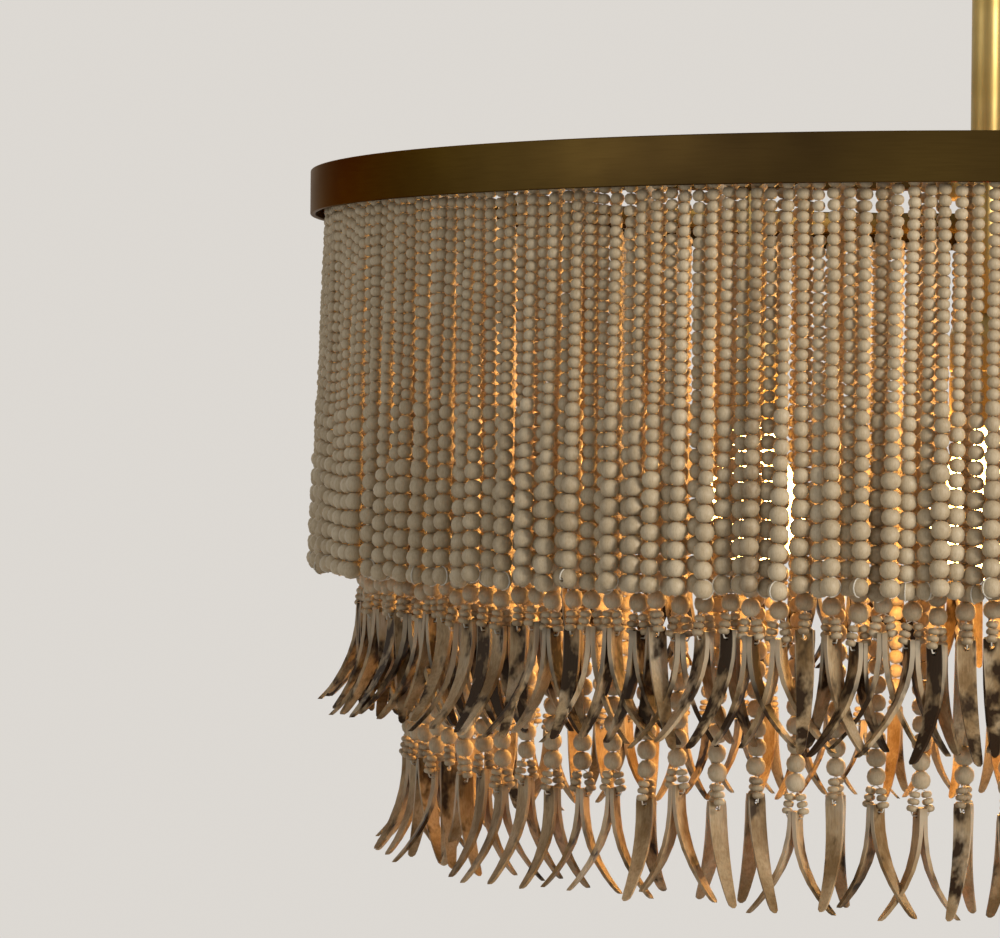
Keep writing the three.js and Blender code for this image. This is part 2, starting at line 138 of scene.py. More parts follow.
class BeadSettings(bpy.types.PropertyGroup):
    """Sizes and colours of the beads and their threads."""

    small_bead: length("Small bead", "Diameter of the beads at a strand's top", 0.0066)
    middle_bead: length("Middle bead", "Diameter of the beads between", 0.0080)
    big_bead: length("Big bead", "Diameter of the beads at a strand's foot", 0.0100)
    small_share: share("Small bead length", "A small bead's length as a share of its diameter", 0.86)
    middle_share: share("Middle bead length", "A middle bead's length as a share of its diameter", 0.95)
    big_share: share("Big bead length", "A big bead's length as a share of its diameter", 0.93)
    rondelle: length("Rondelle", "Diameter of the small flat beads over the slats", 0.0060)
    rondelle_share: share("Rondelle length", "A rondelle's length as a share of its diameter", 0.56)
    hole: length("Hole", "Diameter of the hole in a big bead", 0.0024)
    turned_share: share("Turned beads", "Share of outer strands whose last bead has its hole in front", 0.04)
    thread_radius: length("Thread radius", "Half the thickness of the stringing thread", 0.00036)
    top_gap: length("Top gap", "About the bare thread between a rail and its first beads", 0.0036)
    flare: length("Flare", "How far the outer strands spread from top to foot", 0.0031)
    stagger: length("Stagger", "How far outer strands stand in and out at the foot", 0.0035)
    parting: length("Parting", "How far the outer strands part over the left bulb", 0.0032)
    foot_jitter: length("Foot jitter", "How far a strand's foot wanders sideways", 0.0008)
    foot_lift: length("Foot lift", "How much higher some strands end", 0.0022)
    foot_sink: length("Foot sink", "How much lower some inner strands end, their slats shorter", 0.007)
    sway: length("Sway", "How far a bead sits off its strand's line", 0.00018)
    wood_colour: colour("Wood", "Washed wood of a darker bead", (0.375, 0.285, 0.170))
    wood_mid: colour("Middle wood", "Washed wood of an average bead", (0.485, 0.385, 0.245))
    wood_pale: colour("Pale wood", "The palest beads", (0.63, 0.525, 0.365))
    wood_dark: colour("Dark wood", "The darkest beads and the grain", (0.27, 0.195, 0.11))
    thread_colour: colour("Thread", "Waxed cotton thread", (0.74, 0.69, 0.58))
    seed: IntProperty(name="Seed", description="Picks how the strands happen to hang", default=6)


class SlatSettings(bpy.types.PropertyGroup):
    """Sizes and colours of the mottled slats."""

    drop: length("Drop", "From the last bead's foot down to the slats' tips", 0.068)
    top_drop: length("Top drop", "From the last bead's foot down to the slats' holes", 0.0128)
    width: length("Width", "A slat's width near its hole", 0.0098)
    tip_width: length("Tip width", "A slat's width just above its round tip", 0.0042)
    thickness: length("Thickness", "A slat's thickness", 0.0023)
    flare: length("Flare", "How far an outward slat's tip stands off", 0.025)
    inward_flare: length("Inward flare", "The same for the middle tier's inward slats", 0.0185)
    most_turn: FloatProperty(name="Most turn", description="The most a pair turns, in degrees", default=86.0)
    cream: colour("Cream", "The pale ground of a slat", (0.52, 0.385, 0.22))
    tan: colour("Tan", "The warm cloudy patches", (0.26, 0.162, 0.070))
    black: colour("Black", "The dark bands and patches", (0.034, 0.018, 0.009))
    # The edge colour is also the palest cloud; mixed onto a slat's rims it is a painted highlight.
    edge: colour("Edge", "The polished pale edges", (0.62, 0.53, 0.39))


class MetalSettings(bpy.types.PropertyGroup):
    """Colours of the brass."""

    rod_colour: colour("Rod brass", "Satin brass of the rods", (0.41, 0.30, 0.115))
    rod_patina: colour("Rod patina", "Darker patches on the rods", (0.33, 0.235, 0.08))
    # Painted shade: the band's brass and its patina are the rods' brass darkened, standing in for dark
    # reflections; the patches themselves are real patina.
    band_shaded_colour: colour("Band brass", "Dark brass of the ring band and arms", (0.088, 0.054, 0.014))
    band_shaded_patina: colour("Band patina", "Brown-black patches on the band", (0.045, 0.027, 0.009))
    edge_round: length("Edge round", "Rounding of the band's edges", 0.0006)


class LampSettings(bpy.types.PropertyGroup):
    """Shape and glow of the bulbs."""

    glow: colour("Glow", "Colour of the lit glass", (1.0, 0.46, 0.055))
    strength: FloatProperty(name="Strength", description="How brightly the glass shines", default=54.0, min=0)
    neck_radius: length("Neck radius", "The glass just under the holder", 0.0135)
    thread_pitch: length("Thread pitch", "Rise of the screw cap's thread", 0.0036)


class StageSettings(bpy.types.PropertyGroup):
    """The camera, the floor and the light."""

    distance: length("Distance", "From the camera to the rod's axis, level", 2.29466)
    camera_drop: length("Camera drop", "How far the camera is below the top of the ring", 0.13794)
    lens: FloatProperty(name="Lens", description="Focal length in millimetres", default=145.38)
    yaw: angle("Yaw", "Turn to the left", 6.837)
    pitch: angle("Pitch", "Tilt up", -0.706)
    roll: angle("Roll", "Roll to the left", 0.509)
    floor_drop: length("Floor drop", "The floor below the ceiling", 2.5)
    floor_radius: length("Floor radius", "The round floor's radius", 2.1)
    floor_thickness: length("Floor thickness", "The floor's thickness", 0.02)
    backdrop: colour("Backdrop", "Pale background and floor", (0.72, 0.69, 0.65))
    world_strength: FloatProperty(name="World", description="Strength of the light all round", default=0.30)


def settings(context, part):
    """The named group of settings on the scene."""
    return getattr(context.scene, f"chandelier_{part}")


# Helpers for shader and geometry nodes

def feed(tree, made, inputs):
    """Sets or links a node's inputs, each given by name or by its number among those in use."""
    used = [socket for socket in made.inputs if socket.enabled]
    for key, value in inputs.items():
        socket = used[key] if isinstance(key, int) else made.inputs[key]
        if isinstance(value, bpy.types.NodeSocket):
            tree.links.new(value, socket)
        else:
            socket.default_value = value


def put(tree, kind, inputs=None, output=None, **values):
    """Adds a node with its inputs and plain values, and returns its first or its named output."""
    made = tree.nodes.new(kind)
    for key, value in values.items():
        setattr(made, key, value)
    feed(tree, made, inputs or {})
    return made.outputs[output] if output else [s for s in made.outputs if s.enabled][0]


def number(tree, operation, *inputs, **values):
    """The result of one operation on numbers or sockets."""
    return put(tree, "ShaderNodeMath", dict(enumerate(inputs)), operation=operation, **values)


def vector(tree, operation, *inputs):
    """The result of one operation on vectors or sockets."""
    return put(tree, "ShaderNodeVectorMath", dict(enumerate(inputs)), operation=operation)


def opaque(rgb):
    """A linear colour with full alpha."""
    return (*rgb, 1.0)


def object_pattern(tree, stretch=(1, 1, 1)):
    """Object coordinates stretched along the axes."""
    coords = put(tree, "ShaderNodeTexCoord", output="Object")
    return put(tree, "ShaderNodeMapping", {"Vector": coords, "Scale": stretch})


def noise(tree, place, scale, detail=4.0, roughness=0.55):
    """A noise pattern over a vector."""
    inputs = {"Vector": place, "Scale": scale, "Detail": detail, "Roughness": roughness}
    return put(tree, "ShaderNodeTexNoise", inputs)


def ramp(tree, factor, *stops):
    """A colour ramp with (place, colour) stops."""
    made = tree.nodes.new("ShaderNodeValToRGB")
    elements = made.color_ramp.elements
    while len(elements) < len(stops):
        elements.new(0.5)
    for element, (place, rgb) in zip(elements, stops):
        element.position = place
        element.color = opaque(rgb)
    feed(tree, made, {"Fac": factor})
    return made.outputs["Color"]


def mix(tree, factor, first, second, blend="MIX"):
    """Mixes two colours; each input is a socket or a value."""
    return put(tree, "ShaderNodeMix", {0: factor, 1: first, 2: second}, data_type="RGBA", blend_type=blend)


def span(tree, value, low, high, to_low, to_high):
    """Maps a value from one range to another."""
    return put(tree, "ShaderNodeMapRange", {0: value, 1: low, 2: high, 3: to_low, 4: to_high})


def bump(tree, shader, height, strength, distance):
    """Raises a fine relief on the shader's normal."""
    relief = put(tree, "ShaderNodeBump", {"Strength": strength, "Distance": distance, "Height": height})
    feed(tree, shader, {"Normal": relief})


def attribute(tree, name, output="Fac"):
    """A value stored on the mesh."""
    return put(tree, "ShaderNodeAttribute", output=output, attribute_name=name)


# Materials, each made by a function that fills in its shader

def brass(tree, shader, clean, patina, patch_scale, smoothest, roughest, grain, edge_tint):
    """Satin brass: soft patches of patina under fine brushing."""
    patches = noise(tree, object_pattern(tree), patch_scale, 3.0, 0.5)
    brushing = noise(tree, object_pattern(tree, grain), 1400.0, 3.0)
    base = ramp(tree, patches, (0.34, patina), (0.66, clean))
    lines = ramp(tree, brushing, (0.3, (0.62, 0.60, 0.56)), (0.6, (1, 1, 1)))
    feed(tree, shader, {
        "Metallic": 1.0, "Specular Tint": opaque(edge_tint),
        "Base Color": mix(tree, 0.30, base, lines, "MULTIPLY"),
        "Roughness": span(tree, patches, 0.3, 0.7, roughest, smoothest),
    })
    bump(tree, shader, brushing, 0.12, 0.0002)


def rod_brass(context, tree, shader):
    """Pale satin brass, brushed along the rods."""
    metal = settings(context, "metal")
    along, tint = (1, 1, 0.03), (1, 1, 1)
    brass(tree, shader, metal.rod_colour, metal.rod_patina, 30.0, 0.34, 0.44, along, tint)


def band_brass_painted_shade(context, tree, shader):
    """The rods' brass darkened as painted shade for its dark reflections, with real patina patches, brushed
    round the band.
    """
    metal = settings(context, "metal")
    along, tint = (0.04, 0.04, 1), (0.42, 0.33, 0.24)
    brass(tree, shader, metal.band_shaded_colour, metal.band_shaded_patina, 9.0, 0.30, 0.42, along, tint)


def bead_wood(context, tree, shader):
    """Washed wood: each bead has its own tone, with grain along the strand and a chalky wash."""
    beads = settings(context, "beads")
    tones = (0.0, beads.wood_dark), (0.12, beads.wood_colour), (0.5, beads.wood_mid), (1.0, beads.wood_pale)
    tone = ramp(tree, attribute(tree, "tone"), *tones)
    grain = noise(tree, object_pattern(tree, (1, 1, 0.16)), 1500.0, 3.0, 0.6)
    wash = noise(tree, object_pattern(tree), 260.0, 3.0, 0.5)
    lines = ramp(tree, grain, (0.34, (0.60, 0.53, 0.44)), (0.54, (1, 1, 1)))
    streaked = mix(tree, 0.38, tone, lines, "MULTIPLY")
    washed = mix(tree, span(tree, wash, 0.45, 0.75, 0.0, 0.40), streaked, opaque(beads.wood_pale))
    feed(tree, shader, {"Base Color": washed, "Roughness": span(tree, grain, 0.3, 0.7, 0.66, 0.50)})
    bump(tree, shader, grain, 0.18, 0.00015)


def slat_shell(context, tree, shader):
    """Mottled slat: cloudy cream and tan, dark patches that also carry each tier's painted shade, pale edges
    painted as a highlight, and light shining through.
    """
    slats = settings(context, "slats")
    coords = put(tree, "ShaderNodeTexCoord", output="Object")
    own = vector(tree, "SCALE", attribute(tree, "tone", "Vector"), 3.0)
    place = vector(tree, "MULTIPLY_ADD", coords, (1, 1, 0.6), own)
    clouds = noise(tree, place, 42.0, 5.0, 0.62)
    # The tone holds each slat's own share of dark patches and its tier's painted shade or painted light.
    tone_and_tier_shade = span(tree, attribute(tree, "tone"), 0.0, 1.0, -0.15, 0.10)
    patches = number(tree, "ADD", noise(tree, place, 95.0, 3.0, 0.55), tone_and_tier_shade)
    ground = ramp(tree, clouds, (0.38, slats.tan), (0.54, slats.cream), (0.72, slats.edge))
    dark = ramp(tree, patches, (0.49, (0, 0, 0)), (0.62, (1, 1, 1)))
    mottled = mix(tree, dark, ground, opaque(slats.black))
    streaks = noise(tree, object_pattern(tree, (1, 1, 0.10)), 1100.0, 3.0)
    lines = ramp(tree, streaks, (0.38, (0.58, 0.50, 0.42)), (0.56, (1, 1, 1)))
    streaked = mix(tree, 0.40, mottled, lines, "MULTIPLY")
    # Painted highlight: the slat's rims are mixed towards the pale edge colour.
    edge_highlight_share = span(tree, attribute(tree, "across"), 0.86, 1.0, 0.0, 0.75)
    coloured = mix(tree, edge_highlight_share, streaked, opaque(slats.edge))
    feed(tree, shader, {
        "Base Color": coloured, "Roughness": 0.50,
        "Specular IOR Level": 0.30, "Specular Tint": (1.0, 0.82, 0.62, 1.0),
    })
    bump(tree, shader, noise(tree, place, 700.0, 3.0), 0.12, 0.0003)
    warm = mix(tree, 1.0, coloured, (1.0, 0.72, 0.40, 1.0), "MULTIPLY")
    glow = put(tree, "ShaderNodeBsdfTranslucent", {"Color": warm})
    return put(tree, "ShaderNodeMixShader", {0: 0.26, 1: shader.outputs["BSDF"], 2: glow})


def cotton(context, tree, shader):
    """Waxed cotton thread with a fine twist."""
    thread = settings(context, "beads").thread_colour
    twist = noise(tree, object_pattern(tree), 2600.0, 2.0)
    tinted = ramp(tree, twist, (0.35, [c * 0.7 for c in thread]), (0.6, thread))
    feed(tree, shader, {"Base Color": tinted, "Roughness": 0.75, "Sheen Weight": 0.2})
    bump(tree, shader, twist, 0.4, 0.0002)


def lit_glass(context, tree, shader):
    """Frosted bulb glass, lit warm."""
    lamp = settings(context, "lamp")
    frost = noise(tree, object_pattern(tree), 120.0, 3.0)
    pale = [1 - (1 - c) * 0.85 for c in lamp.glow]
    feed(tree, shader, {
        "Base Color": (0.9, 0.86, 0.78, 1), "Roughness": 0.45, "Emission Strength": lamp.strength,
        "Emission Color": ramp(tree, frost, (0.3, lamp.glow), (0.7, pale)),
    })


def cap_metal(context, tree, shader):
    """Bare aluminium of a screw cap, scuffed by the holder."""
    scuffs = noise(tree, object_pattern(tree, (1, 1, 6)), 320.0, 4.0)
    feed(tree, shader, {
        "Metallic": 1.0, "Roughness": span(tree, scuffs, 0.3, 0.7, 0.5, 0.28),
        "Base Color": ramp(tree, scuffs, (0.35, (0.42, 0.41, 0.39)), (0.6, (0.72, 0.71, 0.69))),
    })


def floor_paint(context, tree, shader):
    """Matt paint in the backdrop's colour, a little uneven."""
    backdrop = settings(context, "stage").backdrop
    grain = noise(tree, object_pattern(tree), 8.0, 3.0)
    paint = ramp(tree, grain, (0.3, [c * 0.97 for c in backdrop]), (0.7, backdrop))
    feed(tree, shader, {"Base Color": paint, "Roughness": 0.85})


FINISHES = {
    "satin_brass": rod_brass, "band_brass_painted_shade": band_brass_painted_shade, "bead_wood": bead_wood, "slat_shell": slat_shell,
    "waxed_thread": cotton, "lit_glass": lit_glass, "cap_metal": cap_metal, "floor_paint": floor_paint,
}


def finish(context, name):
    """A material by name, made once; its surface is the shader's, unless its function returns another."""
    if name in bpy.data.materials:
        return bpy.data.materials[name]
    material = bpy.data.materials.new(name)
    material.use_nodes = True
    tree = material.node_tree
    tree.nodes.clear()
    shader = tree.nodes.new("ShaderNodeBsdfPrincipled")
    surface = FINISHES[name](context, tree, shader) or shader.outputs["BSDF"]
    feed(tree, tree.nodes.new("ShaderNodeOutputMaterial"), {"Surface": surface})
    return material


# Helpers for meshes

def link(obj):
    """Puts an object in the scene."""
    bpy.context.scene.collection.objects.link(obj)
    return obj


def sealed(work, name, degrees):
    """An object from a working mesh: faces turned outward and smooth, edges over the angle sharp."""
    bmesh.ops.recalc_face_normals(work, faces=work.faces)
    mesh = bpy.data.meshes.new(name)
    work.to_mesh(mesh)
    work.free()
    for polygon in mesh.polygons:
        polygon.use_smooth = True
    mesh.set_sharp_from_angle(angle=math.radians(degrees))
    return link(bpy.data.objects.new(name, mesh))


def solid(name, points, faces, degrees):
    """An object from points and faces."""
    mesh = bpy.data.meshes.new(name)
    mesh.from_pydata(points, [], faces)
    work = bmesh.new()
    work.from_mesh(mesh)
    bpy.data.meshes.remove(mesh)
    return sealed(work, name, degrees)


def bends(whole, count):
    """Evenly spaced angles from 0 to the whole."""
    return [whole * k / count for k in range(count + 1)]


def revolve(profile, segments, closed=False):
    """Vertices and faces of a profile of (radius, height) points turned about Z."""
    points, rings, faces = [], [], []
    for radius, height in profile:
        if radius == 0:
            rings.append([len(points)] * segments)
            points.append(Vector((0, 0, height)))
            continue
        rings.append(list(range(len(points), len(points) + segments)))
        for i in range(segments):
            turn = math.tau * i / segments
            points.append(Vector((radius * math.cos(turn), radius * math.sin(turn), height)))
    pairs = list(zip(rings, rings[1:]))
    if closed:
        pairs.append((rings[-1], rings[0]))
    for low, high in pairs:
        for i in range(segments):
            j = (i + 1) % segments
            face = [low[i], low[j], high[j], high[i]]
            faces.append([v for n, v in enumerate(face) if v not in face[:n]])
    return points, faces


def turned(name, profile, segments=64, closed=False, at=(0, 0, 0), degrees=35):
    """A round object about a vertical axis at a place."""
    points, faces = revolve(profile, segments, closed)
    return solid(name, [p + Vector(at) for p in points], faces, degrees)


def rounded_section(inner, outer, low, high, radius):
    """Closed profile of a rectangular section with rounded corners."""
    corners = ((outer, low, -90), (outer, high, 0), (inner, high, 90), (inner, low, 180))
    profile = []
    for r, z, start in corners:
        centre_r = r + (radius if r == inner else -radius)
        centre_z = z + (radius if z == low else -radius)
        for k in range(4):
            turn = math.radians(start + 30 * k)
            profile.append((centre_r + radius * math.cos(turn), centre_z + radius * math.sin(turn)))
    return profile


def dress(obj, material, body, slot, *replaced):
    """Gives a finished piece its material and its body, and hides the frame nodes that it stands for. The
    slot is not used.
    """
    if not obj.data.materials:
        obj.data.materials.append(material)
    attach(obj, body)
    if replaced:
        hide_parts(*replaced)


# Geometry node trees

def stored(tree, name, kind):
    """A named attribute of the points."""
    return put(tree, "GeometryNodeInputNamedAttribute", {"Name": name}, data_type=kind)


def painted(tree, given, geometry):
    """The geometry made real, with its material."""
    real = put(tree, "GeometryNodeRealizeInstances", {"Geometry": geometry})
    return put(tree, "GeometryNodeSetMaterial", {"Geometry": real, "Material": given["Material"]})


def copies(tree, given, instance, **picked):
    """A copy on each point, turned and sized by the point, its tone a little off its strand's lot."""
    placed = put(tree, "GeometryNodeInstanceOnPoints", {
        "Points": given["Geometry"], "Instance": instance,
        "Rotation": stored(tree, "turn", "FLOAT_VECTOR"), "Scale": stored(tree, "size", "FLOAT_VECTOR"),
        **{key.replace("_", " "): value for key, value in picked.items()},
    })
    most = given["Tone Spread"]
    between = {0: number(tree, "MULTIPLY", most, -1.0), 1: most, "Seed": given["Seed"]}
    shift = put(tree, "FunctionNodeRandomValue", between, data_type="FLOAT")
    tone = number(tree, "ADD", shift, stored(tree, "lot", "FLOAT"), use_clamp=True)
    kept = put(
        tree, "GeometryNodeStoreNamedAttribute", {"Geometry": placed, "Name": "tone", "Value": tone},
        data_type="FLOAT", domain="INSTANCE"
    )
    return painted(tree, given, kept)


def beads_on_points(tree, given):
    """A bead on each point: a ball, or the fuller disc that a low fullness makes of it."""
    place = put(tree, "GeometryNodeInputPosition")
    across = vector(tree, "MULTIPLY", place, (1, 1, 0))
    reach = number(tree, "MULTIPLY", vector(tree, "LENGTH", across), 2.0)
    fuller = number(tree, "MULTIPLY", number(tree, "POWER", reach, given["Fullness"]), 0.5)
    wider = vector(tree, "SCALE", vector(tree, "NORMALIZE", across), fuller)
    joined = vector(tree, "ADD", wider, vector(tree, "MULTIPLY", place, (0, 0, 1)))
    sphere = {"Segments": given["Sides"], "Rings": given["Bands"], "Radius": 0.5}
    ball = put(tree, "GeometryNodeMeshUVSphere", sphere)
    shape = put(tree, "GeometryNodeSetPosition", {"Geometry": ball, "Position": joined})
    return copies(tree, given, put(tree, "GeometryNodeSetShadeSmooth", {"Geometry": shape}))


def shapes_on_points(tree, given):
    """Ready shapes on points: each point picks one of three."""
    choice = tree.nodes.new("GeometryNodeGeometryToInstance")
    for label in ("Shape 3", "Shape 2", "Shape 1"):
        source = {"Object": given[label]}
        shape = put(tree, "GeometryNodeObjectInfo", source, "Geometry", transform_space="ORIGINAL")
        feed(tree, choice, {"Geometry": shape})
    index = stored(tree, "shape", "INT")
    return copies(tree, given, choice.outputs["Instances"], Pick_Instance=True, Instance_Index=index)


def thread_on_paths(tree, given):
    """A round thread along every path of edges."""
    path = put(tree, "GeometryNodeMeshToCurve", {"Mesh": given["Geometry"]})
    round_section = {"Radius": given["Radius"], "Resolution": given["Sides"]}
    ring = put(tree, "GeometryNodeCurvePrimitiveCircle", round_section)
    tube = put(tree, "GeometryNodeCurveToMesh", {"Curve": path, "Profile Curve": ring, "Fill Caps": True})
    return painted(tree, given, tube)


COPY_INPUTS = (("Tone Spread", "Float", 0.1), ("Seed", "Int", 1), ("Material", "Material", None))
TREES = {
    "Beads on strands": (
        beads_on_points, ("Sides", "Int", 9), ("Bands", "Int", 6), ("Fullness", "Float", 0.78), *COPY_INPUTS
    ),
    "Shapes on points": (
        shapes_on_points, *((f"Shape {n + 1}", "Object", None) for n in range(3)), *COPY_INPUTS
    ),
    "Thread on paths": (
        thread_on_paths, ("Radius", "Float", 0.0004), ("Sides", "Int", 5), ("Material", "Material", None)
    ),
}


def tree_called(name):
    """A geometry node tree by name, made once."""
    if name in bpy.data.node_groups:
        return bpy.data.node_groups[name]
    build, *inputs = TREES[name]
    tree = bpy.data.node_groups.new(name, "GeometryNodeTree")
    for label, kind, default in (("Geometry", "Geometry", None), *inputs):
        made = tree.interface.new_socket(label, in_out="INPUT", socket_type=f"NodeSocket{kind}")
        if default is not None:
            made.default_value = default
    tree.interface.new_socket("Geometry", in_out="OUTPUT", socket_type="NodeSocketGeometry")
    given = tree.nodes.new("NodeGroupInput").outputs
    feed(tree, tree.nodes.new("NodeGroupOutput"), {"Geometry": build(tree, given)})
    return tree


def grown(name, mesh, tree_name, **inputs):
    """Runs a node tree over a mesh and returns the plain result as an object."""
    tree = tree_called(tree_name)
    source = link(bpy.data.objects.new(name, mesh))
    modifier = source.modifiers.new("grow", "NODES")
    modifier.node_group = tree
    wanted = {key.replace("_", " "): value for key, value in inputs.items()}
    for item in tree.interface.items_tree:
        if item.in_out == "INPUT" and item.name in wanted:
            modifier[item.identifier] = wanted[item.name]
    graph = bpy.context.evaluated_depsgraph_get()
    result = bpy.data.meshes.new_from_object(source.evaluated_get(graph), depsgraph=graph)
    source.modifiers.remove(modifier)
    source.data = result
    bpy.data.meshes.remove(mesh)
    result.name = name
    if not result.polygons:
        raise RuntimeError(f"{name} came out empty")
    return source


def point_mesh(name, rows):
    """A mesh of points with turn, size, lot (the tone of a bead's wood, or a slat tier's share of dark
    patches with its painted shade) and shape stored on each.
    """
    mesh = bpy.data.meshes.new(name)
    mesh.from_pydata([row["at"] for row in rows], [], [])
    for key in ("turn", "size"):
        values = [c for row in rows for c in row[key]]
        mesh.attributes.new(key, "FLOAT_VECTOR", "POINT").data.foreach_set("vector", values)
    for key, kind in (("lot", "FLOAT"), ("shape", "INT")):
        values = [row.get(key, 0) for row in rows]
        mesh.attributes.new(key, kind, "POINT").data.foreach_set("value", values)
    return mesh


def strew(name, rows, tree_name, material, body, slot, *replaced, **inputs):
    """Grows copies over rows of places and dresses them as one piece."""
    obj = grown(name, point_mesh(name, rows), tree_name, Material=material, **inputs)
    dress(obj, material, body, slot, *replaced)


def path_mesh(name, paths):
    """A mesh of edge paths; a path that ends where it starts is closed."""
    points, edges = [], []
    for path in paths:
        closed = (path[0] - path[-1]).length < 1e-9
        first = len(points)
        kept = path[:-1] if closed else path
        points += kept
        edges += [(first + i, first + i + 1) for i in range(len(kept) - 1)]
        if closed:
            edges.append((first + len(kept) - 1, first))
    mesh = bpy.data.meshes.new(name)
    mesh.from_pydata(points, edges, [])
    return mesh


# Strands

def upright(height):
    """A step straight up."""
    return Vector((0, 0, height))


def settled_feet(beads, sector, rng):
    """Where the outer strands' feet come to rest side by side: (along, out) for each strand of a panel."""
    count = STRANDS_PER_SECTOR["outer"]
    pitch = TIER_RADIUS["outer"] * math.tau / SECTORS / count
    nearest, farthest = beads.flare - beads.stagger, beads.flare + beads.stagger
    homes, spots, side = [], [], 1
    for number_along in range(count):
        at_end = number_along in (0, count - 1)
        if at_end:
            side = 1 if number_along == 0 else -1
        home = (number_along + 0.5) * pitch
        if sector == PARTED_SECTOR:
            apart = number_along - PARTED_STRAND
            home += math.copysign(beads.parting * math.exp(-abs(apart) / PARTED_STRANDS_EACH_SIDE), apart)
        homes.append(home)
        wander = 0 if at_end else rng.gauss(0, beads.foot_jitter)
        in_or_out = side * beads.stagger * (1 if at_end else rng.uniform(0.5, 1.0))
        spots.append([home + wander, beads.flare + in_or_out])
        side = side if rng.random() < SAME_SIDE_SHARE else -side
    needed = beads.big_bead * SETTLED_CLOSENESS
    for _ in range(SETTLING_ROUNDS):
        for step in (1, 2):
            for a in range(count - step):
                b = a + step
                along, out = spots[b][0] - spots[a][0], spots[b][1] - spots[a][1]
                apart = math.hypot(along, out)
                short = needed - apart
                if short > 0:
                    share_a, share_b = (0 if a == 0 else 0.5), (0 if b == count - 1 else 0.5)
                    for spot, push in ((spots[a], -short * share_a), (spots[b], short * share_b)):
                        spot[0] += push * along / apart
                        spot[1] += push * out / apart
        for home, spot in list(zip(homes, spots))[1:-1]:
            spot[0] += (home - spot[0]) * HOMING
            spot[1] = min(farthest, max(nearest, spot[1]))
    return [(spot[0] - (n + 0.5) * pitch, spot[1]) for n, spot in enumerate(spots)]


class Strand:
    """One strand: where it starts and ends, and the directions out of and along the ring there."""

    def __init__(self, context, tier, sector, place, settled, rng):
        beads, count = settings(context, "beads"), STRANDS_PER_SECTOR[tier]
        self.tier = tier
        self.part = (place + 0.5) / count
        self.angle = (sector + self.part + TIER_SHIFT[tier] / count) * math.tau / SECTORS
        self.out = Vector((math.cos(self.angle), math.sin(self.angle), 0))
        self.along = Vector((-math.sin(self.angle), math.cos(self.angle), 0))
        self.lot = min(1.0, max(0.0, rng.gauss(LOT_MEAN, LOT_SPREAD)))
        near_end = min(1.0, 8 * min(self.part, 1 - self.part))
        wander = beads.foot_jitter * near_end
        drift, spread = wander * rng.uniform(-2, 2), wander * rng.uniform(-1, 1)
        if settled:
            drift, spread = settled[place]
            self.sunk = 0.0
            low = TIER_LOWEST[tier]
        else:
            wave = 0.5 + 0.5 * math.sin(SINK_WAVES * self.angle)
            self.sunk = beads.foot_sink * SINK_SHARE[tier] * wave
            low = TIER_LOWEST[tier] + settings(context, "slats").drop - self.sunk
        radius = TIER_RADIUS[tier]
        lift = min(beads.foot_lift * 1.6, abs(rng.gauss(0, 1)) * beads.foot_lift)
        start = RAIL_BOTTOM - beads.top_gap * rng.uniform(TOP_GAP_LEAST, TOP_GAP_MOST)
        self.top = self.out * radius + upright(start) + self.along * rng.uniform(-0.7, 0.7) * wander
        self.foot = self.out * (radius + spread) + self.along * drift + upright(low + lift)
        self.down = (self.foot - self.top).normalized()
        self.run = (self.foot - self.top).length

    def bead_sizes(self, beads, rng):
        """Bead (diameter, length) from the top down, with the changes of size a bead higher or lower."""
        small, middle, big = BEADS_SMALL_MIDDLE_BIG[self.tier]
        swap = rng.choice((-1, 0, 0, 1))
        kinds = [(beads.small_bead, beads.small_share)] * (small + rng.choice((-1, -1, 0, 0, 1, 2)))
        kinds += [(beads.middle_bead, beads.middle_share)] * (middle + swap)
        kinds += [(beads.big_bead, beads.big_share)] * (big - swap)
        sizes = []
        for diameter, length_share in kinds:
            size = diameter * rng.uniform(BEAD_LEAST, BEAD_MOST)
            sizes.append((size, size * length_share))
        return sizes

    def beads(self, beads, rng):
        """Rows of bead places, filling the strand from its top to its foot."""
        sizes = self.bead_sizes(beads, rng)
        stretch = self.run / sum(tall for _, tall in sizes)
        rows, travelled = [], 0.0
        aim = (-self.down).to_track_quat("Z", "Y")
        for size, tall in sizes:
            step = tall * stretch
            wobble = tumble(rng, BEAD_TUMBLE)
            aside = self.along * rng.gauss(0, beads.sway) + self.out * rng.gauss(0, beads.sway)
            rows.append({
                "at": self.top + self.down * (travelled + step / 2) + aside,
                "turn": (aim @ wobble).to_euler(), "size": (size, size, step * BEAD_PRESS), "lot": self.lot,
            })
            travelled += step
        return rows


def tumble(rng, lean):
    """A small random lean with any turn about the thread."""
    return Euler((rng.gauss(0, lean), rng.gauss(0, lean), rng.uniform(0, math.tau))).to_quaternion()


def strands(context, tier, sector):
    """The strands of one panel with their bead rows, the same on every run."""
    beads = settings(context, "beads")
    rng = random.Random(beads.seed * 1000 + TIERS.index(tier) * 100 + sector)
    settled = settled_feet(beads, sector, rng) if tier == "outer" else None
    made = []
    for place in range(STRANDS_PER_SECTOR[tier]):
        strand = Strand(context, tier, sector, place, settled, rng)
        rows = strand.beads(beads, rng)
        strand.turned = bool(settled) and rng.random() < beads.turned_share
        if strand.turned:
            lay_last_bead(strand, rows[-1], beads, rng)
        made.append((strand, rows))
    return made, rng


def lay_last_bead(strand, row, beads, rng):
    """Turns a strand's last bead so that its hole faces out and a little down."""
    facing = strand.out + strand.along * rng.uniform(-0.35, 0.35) + upright(rng.uniform(-0.4, 0.1))
    facing.normalize()
    row["turn"] = facing.to_track_quat("Z", "Y").to_euler()
    row["size"] = (beads.big_bead, beads.big_bead, beads.big_bead)
    row["facing"] = facing


